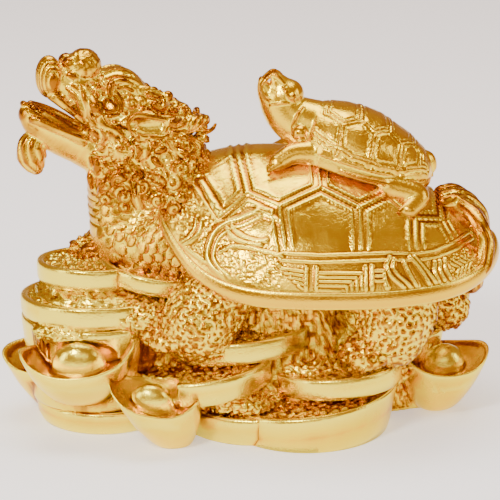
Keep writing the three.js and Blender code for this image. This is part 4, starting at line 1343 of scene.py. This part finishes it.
def tuft(clay):
    """Hairs that spread from the middle of the cheek's round tuft."""
    for turn in np.radians(np.arange(0, 360, 24)):
        c, s = math.cos(turn), math.sin(turn)
        hair = clay.lay([(TUFT[0] + r * c, TUFT[1] + r * s) for r in TUFT_REACHES], 0.12)
        clay.strand(hair, [0.22, 0.34, 0.36, 0.2], 0.1)


def mane(clay):
    """The mane's larger forms: curls, mounds, lobes, locks and pits."""
    for k, (turn, height, radius) in enumerate(MANE_CURLS):
        place, facing = on_mane(turn, height)
        clay.curl(place, facing, radius, 1.8, start=k, hand=1 if k % 2 else -1, blend=0.4, tube=0.25)
    for turn, height, radius in MANE_MOUNDS:
        place, facing = on_mane(turn, height)
        axes = np.column_stack([unit(np.cross(UP, facing)), UP, facing])
        clay.ball(place - MANE_SINK * facing, (radius, radius, 0.5 * radius), axes, 0.6)
    clay.rope(clay.lay(NAPE_LOCK, 1.5), [1.4, 1.7, 1.7, 1.4], strands=5, twist=2.4, depth=0.36, blend=0.2)
    for row in NEAR_DABS:
        dab(clay, *row, sink=-LOBE_RISE)
    tuft(clay)
    for px, py, radius in NEAR_PITS:
        clay.ball(clay.seen(px, py)[0], radius, blend=0.3, cut=True)
    for px, py, radius, start, hand, turns in NEAR_CURLS:
        place, normal = clay.seen(px, py)
        facing = unit(normal - 0.6 * sight(px, py))
        clay.curl(place + 0.45 * facing, facing, radius, turns, math.radians(start), hand)
    lay_strands(clay, NEAR_STRANDS)


# Where the near side's own forms leave no room for small curls: pixel and radius in pixels
TAKEN_NEAR = [
    (120, 150, 12), (156, 141, 7), (160, 151, 6), (157, 162, 7), (146, 169, 7), (131, 171, 6),
    (140, 151, 12), (186, 148, 20), (186, 123, 9), (174, 125, 9), (198, 122, 9), (146, 124, 15),
    (134, 124, 11), (158, 124, 12), (137, 196, 6), (142, 206, 5), (160, 184, 6), (95, 168, 8), (95, 182, 7),
    (200, 139, 6), (174, 180, 9), (196, 185, 7), (169, 199, 8),
]


def project(places):
    """The pixels at which places are seen."""
    offset = places - VIEW_POINT
    depth = -offset @ VIEW_BACK
    px = PHOTO_SIZE / 2 + FOCAL_PIXELS * (offset @ VIEW_RIGHT) / depth
    py = PHOTO_SIZE / 2 - FOCAL_PIXELS * (offset @ VIEW_UP) / depth
    return np.column_stack([px, py])


CURL_SPACING, CURL_RADII, SNAIL_SHARE = 2.5, (1.05, 1.75), 0.45


def small_curls(clay):
    """Small snails and bent locks all over the mane, where the larger forms leave room."""
    spots, normals = clay.surface(CURL_SPACING, seed=83, where=mane_surface)
    random = np.random.default_rng(84)
    pixels = project(spots)
    for spot, normal, pixel in zip(spots, normals, pixels):
        start = random.uniform(0, 2 * math.pi)
        hand = 1 if random.random() < 0.5 else -1
        radius = random.uniform(*CURL_RADII)
        towards = normal @ VIEW_BACK > 0.1
        taken = any(math.hypot(pixel[0] - px, pixel[1] - py) < r for px, py, r in TAKEN_NEAR)
        if towards and taken:
            continue
        if random.random() < SNAIL_SHARE:
            clay.curl(spot + 0.35 * normal, normal, radius, 1.3, start, hand, blend=0.15, tube=0.3)
        else:
            clay.comma(spot + 0.3 * normal, normal, 1.15 * radius, start, hand)


def mane_surface(x, y, z):
    """Where the mane's small curls grow: not on the face, the throat and the brow."""
    local = (np.column_stack([x, y, z]) - HEAD_PLACE) @ HEAD_TURN
    face = (local[:, 0] > -0.5 - 0.25 * np.minimum(local[:, 2], 0)) | (local[:, 2] > 9.5)
    throat = (x < -29) & (z < 60)
    neck = (x < -24) & (z < 53)
    return (z > 47) & ~face & ~throat & ~neck


def roughen(clay, where, size, depth, seed):
    """Grains a part of the surface."""
    cells = np.argwhere(np.abs(clay.field) < 3 * clay.step)
    cells = cells[where(*(clay.low + cells * clay.step).T)]
    places = clay.low + cells * clay.step
    clay.field[tuple(cells.T)] += depth * lattice_noise(places, size, seed).astype(np.float32)


def on_snout(x, y, z):
    """The grained parts of the head: the nose bulbs and the forehead."""
    local = (np.column_stack([x, y, z]) - HEAD_PLACE) @ HEAD_TURN
    nose = (np.abs(local[:, 0] - 15.2) < 4.6) & (local[:, 2] > 6)
    brow = (np.abs(local[:, 0] - 3.5) < 6) & (local[:, 2] > 9.2)
    return nose | brow


MOUTH_MIDDLE, MOUTH_REACH = (14.5, 0.2, -4.6), (7.5, 3.4, 2.8)


def mouth_painted_shade(points):
    """Painted shade inside the mouth."""
    local = (points - HEAD_PLACE) @ HEAD_TURN
    inside = np.all(np.abs(local - MOUTH_MIDDLE) < MOUTH_REACH, axis=1)
    # Painted shade in the mouth's hollow
    return np.where(inside, 0.3, 0.0)


def dragon_head_and_mane():
    clay = Clay((-57, -16, 41), (-3, 16, 88), 0.26)
    clay.strand([(-28.4, -1.5, 50), (-28.4, -1.5, 54), (-28.6, -2, 62)], [8, 8.2, 8], 0)
    upper_head(clay)
    lower_jaw(clay)
    mane_core(clay)
    open_mouth(clay)
    beard(clay)
    horns(clay)
    roughen(clay, on_snout, size=0.55, depth=0.17, seed=71)
    face(clay)
    ears(clay)
    mane(clay)
    small_curls(clay)
    return piece_of_clay("dragon_head_and_mane", clay, mouth_painted_shade)


# The neck and the chest, which are covered in fish scales
NECK_AXIS = [
    (-28.6, -2, 63), (-28.4, -1.5, 54), (-27, -1, 48), (-23.5, -1, 44), (-17, -0.8, 41.5), (-9, -0.5, 40.5),
]
SCALE_PITCH = 1.8
OUTSIDE = 22.0  # a distance from the neck's axis, clear of its surface


def neck_forms(clay):
    neck = [(-14, -1, 38), (-24.5, -1, 41), (-27.6, -1, 47), (-28.4, -1.5, 54), (-28.6, -2, 62)]
    clay.strand(neck, [12, 10.4, 8.8, 8.2, 8], 0)
    clay.strand([(6, 0, 39), (-8, -0.5, 41), (-19, -1, 42)], [15, 13.6, 12], 2)


def along_run(path, run, at):
    """The place on a path after a length of it."""
    return np.array([np.interp(at, run, axis) for axis in path.T])


def scale(clay, place, normal, down, width):
    """One fish scale: it leans out towards its lower, rounded end."""
    down = unit(down - normal * (down @ normal))
    across = np.cross(down, normal)
    lean = unit(normal - 0.42 * down)
    turn = np.column_stack([across, np.cross(lean, across), lean])
    clay.ball(place + 0.12 * normal, (0.54 * width, 0.62 * width, 0.34), turn, 0.0)


def scales(clay):
    """Rows of scales round the neck and down the chest, none on the throat."""
    path, _ = smooth_path(NECK_AXIS, 12)
    steps = np.linalg.norm(np.diff(path, axis=0), axis=1)
    run = np.concatenate([[0], np.cumsum(steps)])
    chest = int(20 / SCALE_PITCH)
    found = []
    for row in range(int(run[-1] / SCALE_PITCH)):
        at_run = SCALE_PITCH * (row + 0.5)
        centre, ahead = (along_run(path, run, at) for at in (at_run, at_run + 0.5))
        down = unit(ahead - centre)
        side = unit(np.cross(down, np.array([0, 1.0, 0])))
        lift = np.cross(side, down)
        around = 21 if row < chest else 27
        for k in range(around):
            turn = 2 * math.pi * (k + 0.5 * (row % 2)) / around
            out = math.cos(turn) * side + math.sin(turn) * lift
            spot, normal = clay.march(centre + OUTSIDE * out, -out, OUTSIDE)
            in_front = abs(out[1]) < 0.66 and out[0] < 0
            if spot is not None and not (in_front and row < chest):
                found.append((spot, normal, down, 2.8 if row < chest else 3.1))
    for spot, normal, down, width in found:
        scale(clay, spot, normal, down, width)


def belly_plates(clay):
    """Grooves across the throat, between its plates."""
    for height in np.arange(44.5, 61, 2.0):
        arc = []
        for turn in np.radians(np.linspace(-46, 46, 11)):
            out = np.array([-math.cos(turn), math.sin(turn), 0.12])
            spot, _ = clay.march(np.array([-27.6, -1.4, height]) + 16 * out, -out, 15)
            if spot is not None:
                arc.append(spot)
        clay.strand(arc, [0.36] * len(arc), 0.2, cut=True, per_span=2)


def neck_and_chest():
    clay = Clay((-43, -17, 24), (2, 17, 66), 0.27)
    neck_forms(clay)
    scales(clay)
    belly_plates(clay)
    return piece_of_clay("neck_and_chest", clay)


# Legs: the line of the limb with its radii
LEGS = [
    [(1, -12, 41, 9), (-5, -15.2, 35.6, 7.8), (-11, -19, 27.03, 8.4)],
    [(-6, 12, 42, 8), (-20, 13, 43, 6), (-33.5, 7, 38.25, 3.4)],
    [(27, -12, 37, 10), (33, -17.5, 31, 8.4), (31.5, -18.5, 24.48, 7.4)],
    [(32, 11, 34, 9), (43, 9, 27, 6.2), (45.2, 6.2, 21.93, 5.3)],
]
# Toes: the middle one's place, and the radius
TOES = [(-18.5, -19.5, 23.46, 2.2), (-35.6, 3.6, 37.4, 2.0), (25.6, -20.5, 20.4, 2.6)]


def legs(clay):
    """The legs and their toes."""
    for line in LEGS:
        clay.strand([p[:3] for p in line], [p[3] for p in line], 1.5)
    for x, y, z, radius in TOES:
        for k in (-1, 0, 1):
            tip = np.array([x - 2 * (1 - abs(k)), y + 1.7 * radius * k, z])
            clay.ball(tip, (radius * 1.6, radius * 0.95, radius * 0.95), blend=0.6)


# The lock on the tail's near side
TAIL_LOCK = [
    (47, -4, 50.3), (50, -8, 48.4), (51.6, -11, 45.6), (52.3, -12.4, 42), (51.8, -14, 38.6), (50, -16, 36),
]


def tail(clay):
    """Three locks that fold up over the shell's end, one on each side of them and one on top."""
    for k in (-1, 0, 1):
        inset = abs(k)
        spine = [(50.6, 2 + 2 * k, 29.2), (50.8, 2 + 2 * k, 33.4), (51.6 - inset, 2 + 3 * k, 38.2)]
        spine += [(51 - inset, 2 + 3.4 * k, 44.9), (47.6 - inset, 1 + 3.6 * k, 49.3), (43, 4.2 * k, 50.2)]
        clay.rope(spine, [2.6, 3.1, 3.3, 3.2, 2.6, 1.5], strands=8, twist=0.5 * (1 - k), depth=0.3, blend=0.4)
    for lock in (TAIL_LOCK, [(x - 1.5, 2 - y, z - 1.5) for x, y, z in TAIL_LOCK]):
        clay.rope(lock, [1.2, 1.7, 1.9, 2.0, 1.9, 1.0], strands=5, twist=0.5, depth=0.4, blend=0.3)
    middle = [(50, -4, 33), (52.6, -4, 38), (51.5, -4.5, 44), (48, -4.5, 47.6)]
    clay.rope(middle, [1.3, 1.6, 1.4, 0.8], strands=4, twist=0.8, depth=0.4, blend=0.3)


def legs_and_tail():
    clay = Clay((-43, -31, 13), (59, 26, 56), 0.3)
    clay.strand([(2, 0, 35), (17, 0, 36), (32, 0, 34)], [11, 11, 9], 0)
    legs(clay)
    clay.mail(spacing=1.15, radius=0.8, seed=91, where=on_legs, out=0.15, blend=0.05)
    tail(clay)
    return piece_of_clay("legs_and_tail", clay)


def on_legs(x, y, z):
    """The legs, with the raised one, but not the tail and what lies under the shell."""
    raised = (x < -8) & (y > 0)
    return (z < 37) | raised


# The young turtle. Its shell is drawn in its own frame: x to its tail, z up from its flange.
YOUNG_PLACE = np.array([25.5, 0.0, 59.0])
YOUNG_TURN = turn_matrix(0, 16)
# Slices: along, half width and height
YOUNG_SLICES = [
    (-14.6, 1.5, 3), (-14.2, 6.5, 7.4), (-13.4, 8.4, 9.3), (-10.5, 10.5, 10.6), (-7, 11.7, 11.2),
    (-3, 12.3, 11.3), (1, 12.4, 10.8), (8.5, 10.6, 8.1), (12.5, 7.8, 5.8), (14.4, 5.6, 4.0),
    (15.6, 2.5, 1.8),
]
# Corners of its plates on one half: where the seams across start, and those to the foot
YOUNG_SEAMS = [(-11.5, 3.6), (-4, 4.6), (3, 4.2), (9, 3)]
YOUNG_CORNERS = [(-7.6, 6), (-0.4, 6.4), (6.2, 5.4), (11, 3.6)]


def young(x, y, z):
    """A place in the frame of the young turtle's shell, taken to the figure's."""
    return YOUNG_TURN @ np.array([x, y, z], float) + YOUNG_PLACE


def young_dome(clay):
    """The young turtle's shell, rounded across at every slice of its length."""
    x, y, z = clay.places((slice(None),) * 3)
    px, py, pz = x - YOUNG_PLACE[0], y - YOUNG_PLACE[1], z - YOUNG_PLACE[2]
    t = YOUNG_TURN
    u = t[0, 0] * px + t[1, 0] * py + t[2, 0] * pz
    w = t[0, 2] * px + t[1, 2] * py + t[2, 2] * pz
    at_x = [row[0] for row in YOUNG_SLICES]
    width = np.interp(u, at_x, [row[1] for row in YOUNG_SLICES]).astype(np.float32)
    height = np.interp(u, at_x, [row[2] for row in YOUNG_SLICES]).astype(np.float32)
    near = np.sqrt((py / width) ** 2 + (w / height) ** 2)
    dome = (near - 1) * np.minimum(width, height)
    dome = np.maximum(dome, np.maximum(at_x[0] - u, u - at_x[-1]))
    dome = np.maximum(dome, -2 - w)
    clay.join((slice(None),) * 3, np.minimum(dome, FAR).astype(np.float32), 0)


def on_young_shell(clay, line):
    """A line drawn in plan, laid on the young turtle's shell."""
    dense = []
    for a, b in zip(line[:-1], line[1:]):
        dense += [np.array(a) + (np.array(b) - a) * t for t in np.linspace(0, 1, 7)]
    path = []
    for x, y in dense:
        spot, _ = clay.march(young(x, y * 1.6, 18), young(x, y, 0) - young(x, y * 1.6, 18), 20)
        if spot is not None:
            path.append(spot)
    return np.array(path)


def young_seams(clay):
    """The seams between the young turtle's plates, laid on its shell."""
    zigzag = [point for pair in zip(YOUNG_SEAMS, YOUNG_CORNERS) for point in pair]
    lines = []
    for side in (-1, 1):
        lines.append([(x, y * side) for x, y in zigzag])
        for (x, y), foot in zip(YOUNG_CORNERS, (10.5, 11.2, 10, 6)):
            lines.append([(x, y * side), (x + 0.3, foot * side)])
        foot = [(-13, 6.5), (-10, 8.9), (-4, 10.7), (2, 10.9), (8, 9.3), (13, 5.2)]
        lines.append([(x, y * side) for x, y in foot])
    for x, y in YOUNG_SEAMS:
        lines.append([(x, -y), (x, y)])
    return [on_young_shell(clay, line) for line in lines]


def engrave_young_shell(clay):
    """Double ridges along the seams between the young turtle's plates."""
    seams = young_seams(clay)
    cells = np.argwhere(np.abs(clay.field) < 1.2)
    places = clay.low + cells * clay.step
    local = (places - YOUNG_PLACE) @ YOUNG_TURN
    keep = (local[:, 2] > 0.8) & (np.abs(local[:, 0]) < 16) & (local[:, 2] < 12.5)
    cells, places = cells[keep], places[keep]
    away = np.min([distance_to_path(places, seam) for seam in seams], axis=0)
    ridge = 0.42 * ridge_height(away - 0.55, 0.27)
    groove = np.where(away < 1.15, 0.0, 0.3) + 0.05 * lattice_noise(places, 0.8, 95)
    clay.field[tuple(cells.T)] -= (ridge + groove).astype(np.float32)


def young_head(clay):
    """The neck, the head and the jaws, and the cuts that leave the mouth open."""
    clay.strand([(15, 0, 66), (9.8, 0, 68.4), (7.2, 0, 71.4), (7.2, -0.4, 73.2)], [6.4, 5.3, 4.7, 4.1], 0.6)
    clay.ball((8.6, -0.4, 74.2), (3.4, 3.7, 3.3), blend=0.6)
    clay.strand([(7.2, -0.4, 75), (6.2, -0.8, 77), (5.2, -1, 78.4)], [3.0, 2.0, 1.0], 0.6)
    clay.strand([(5.6, -0.4, 71.8), (3.6, -0.8, 75), (2.9, -1, 77.4)], [3.2, 2.0, 1.1], 0.6)
    clay.strand([(5.2, -5, 73.4), (4.2, -4.2, 76), (3.2, -3.4, 79)], [0.6, 0.9, 0.9], 0.2, cut=True)
    clay.strand([(5.2, 4, 73.4), (4.2, 3.2, 76), (3.2, 2.4, 79)], [0.6, 0.9, 0.9], 0.2, cut=True)
    clay.strand([(5.4, -0.8, 75), (4.2, -0.9, 77), (3.4, -1, 79.4)], [0.8, 1.0, 1.2], 0.2, cut=True)


# Strands that lie on the young turtle's face, on both sides: pixels, radii and lift
YOUNG_FACE = [
    ([(284, 84), (279, 78), (272, 75), (265, 77), (262, 86), (265, 95), (270, 100)],
     [0.3, 0.42, 0.45, 0.45, 0.45, 0.42, 0.3], 0.15),
    ([(283, 87), (286, 92), (289, 97), (294, 101)], [0.25, 0.4, 0.4, 0.25], 0.2),
    ([(285, 80), (291, 78.5), (298, 80.5), (303, 86)], [0.3, 0.55, 0.6, 0.3], 0.25),
    ([(270, 105), (277, 104), (284, 103), (290, 104)], [0.2, 0.3, 0.3, 0.2], 0.1),
    ([(303, 108), (298, 115), (294, 124), (293, 134)], [0.3, 0.45, 0.45, 0.3], 0.15),
]
# Its eye and shoulder: pixel and radius
YOUNG_LUMPS = [(292.5, 96.5, 0.75), (300, 133, 1.9)]


def far_side(place):
    """The mirror image of a place on the young turtle."""
    return place * np.array([1, -1, 1])


def young_face(clay):
    lay_strands(clay, YOUNG_FACE, far_side)
    for px, py, radius in YOUNG_LUMPS:
        place, _ = clay.seen(px, py)
        for spot in (place, far_side(place)):
            clay.ball(spot, radius, blend=0.15)


def young_legs(clay):
    """The legs with their claws, and the tail."""
    for side in (-1, 1):
        sag = 2.8 if side > 0 else 0.0
        fore = [(14, 7 * side, 62.4 - sag), (9.6, 8.4 * side, 62.6 - sag), (6, 10 * side, 61 - sag)]
        clay.strand(fore, [3, 2.4, 1.9], 0.5)
        hind = [(31, 10 * side, 55.4), (37, 10.4 * side, 53.4), (35, 13.4 * side, 51)]
        clay.strand(hind, [3, 2.7, 2.0], 0.5)
        for k in (-1, 0, 1):
            claw = [(6.4, (10 + 1.1 * k) * side, 61 - sag), (4.0, (10.8 + 1.5 * k) * side, 59.8 - sag)]
            clay.strand(claw, [0.9, 0.5], 0.2)
            claw = [(34.6, (13 + 0.5 * k) * side, 51.2 + k), (32.8, (14.6 + 0.5 * k) * side, 50 + 1.2 * k)]
            clay.strand(claw, [0.9, 0.5], 0.2)
    clay.strand([(37, 0, 58.4), (39.5, 0, 59.2), (40.4, 0, 57.4), (39.4, 0, 55.4)], [2.2, 1.8, 1.6, 1.2], 0.4)


def young_turtle():
    clay = Clay((-1, -18, 46), (45, 18, 84), 0.26)
    young_dome(clay)
    engrave_young_shell(clay)
    clay.ball(young(0.8, 0, -0.8), (14.9, 13.5, 1.5), YOUNG_TURN, 0.25)
    clay.ball((25, 0, 57), (14, 8.5, 5.4), blend=0.6)
    young_head(clay)
    young_face(clay)
    young_legs(clay)
    return piece_of_clay("young_turtle", clay)


def camera():
    """A camera with the photograph's view."""
    data = bpy.data.cameras.new("camera")
    data.sensor_width = 36.0
    data.lens = FOCAL_PIXELS / PHOTO_SIZE * data.sensor_width
    data.clip_start = 0.01
    data.clip_end = 10.0
    obj = add_object("camera", data)
    obj.location = Vector(VIEW_POINT * MM)
    obj.rotation_euler = (math.pi / 2 - VIEW_ELEVATION, 0.0, 0.0)
    bpy.context.scene.camera = obj


# Lights: place, width and height in metres, and power
LIGHTS = {
    "key": ((-0.25, -0.45, 0.5), (0.12, 0.12), 3.2),
    "top": ((0.0, 0.12, 0.62), (0.5, 0.34), 3.4),
    "front": ((0.05, -0.62, 0.34), (0.5, 0.24), 0.5),
    "left": ((-0.6, -0.3, 0.25), (0.2, 0.4), 1.4),
    "right": ((0.6, -0.1, 0.28), (0.2, 0.35), 0.8),
}
LIT_PLACE = Vector((0, 0, 0.04))  # where the lights are turned to


def softbox(name, place, size, power):
    """A light with a wide face, turned to the figure."""
    data = bpy.data.lights.new(name, "AREA")
    data.shape = "RECTANGLE"
    data.size, data.size_y = size
    data.energy = power
    obj = add_object(name, data)
    obj.location = place
    obj.rotation_euler = (LIT_PLACE - Vector(place)).to_track_quat("-Z", "Y").to_euler()


def studio():
    """Soft lights in a room that the gold sees as warm, and the camera as white."""
    for name, row in LIGHTS.items():
        softbox(name, *row)
    world = bpy.data.worlds.new("studio")
    bpy.context.scene.world = world
    world.use_nodes = True
    tree = world.node_tree
    tree.nodes.clear()
    warm = add_node(tree, "ShaderNodeBackground", {"Color": (1, 0.5, 0.25, 1), "Strength": 0.48})
    white = add_node(tree, "ShaderNodeBackground", {"Strength": 6.0})
    path = add_node(tree, "ShaderNodeLightPath")
    either = {0: path.outputs["Is Camera Ray"], 1: warm.outputs[0], 2: white.outputs[0]}
    mix = add_node(tree, "ShaderNodeMixShader", (), either)
    add_node(tree, "ShaderNodeOutputWorld", (), {"Surface": mix.outputs[0]})


def floor():
    """A pale floor, which isn't part of the figure."""
    mesh = bpy.data.meshes.new("floor")
    half = 3.0  # metres
    corners = [(-half, -half, 0), (half, -half, 0), (half, half, 0), (-half, half, 0)]
    mesh.from_pydata(corners, [], [(0, 1, 2, 3)])
    obj = add_object("floor", mesh)
    material = bpy.data.materials.new("pale_floor")
    material.use_nodes = True
    shader = material.node_tree.nodes["Principled BSDF"]
    shader.inputs["Base Color"].default_value = (0.95, 0.95, 0.95, 1)
    shader.inputs["Roughness"].default_value = 0.9
    shader.inputs["Emission Color"].default_value = (1, 1, 1, 1)
    shader.inputs["Emission Strength"].default_value = 0.6
    mesh.materials.append(material)


camera()
studio()
floor()
carapace()
bed()
legs_and_tail()
neck_and_chest()
dragon_head_and_mane()
young_turtle()
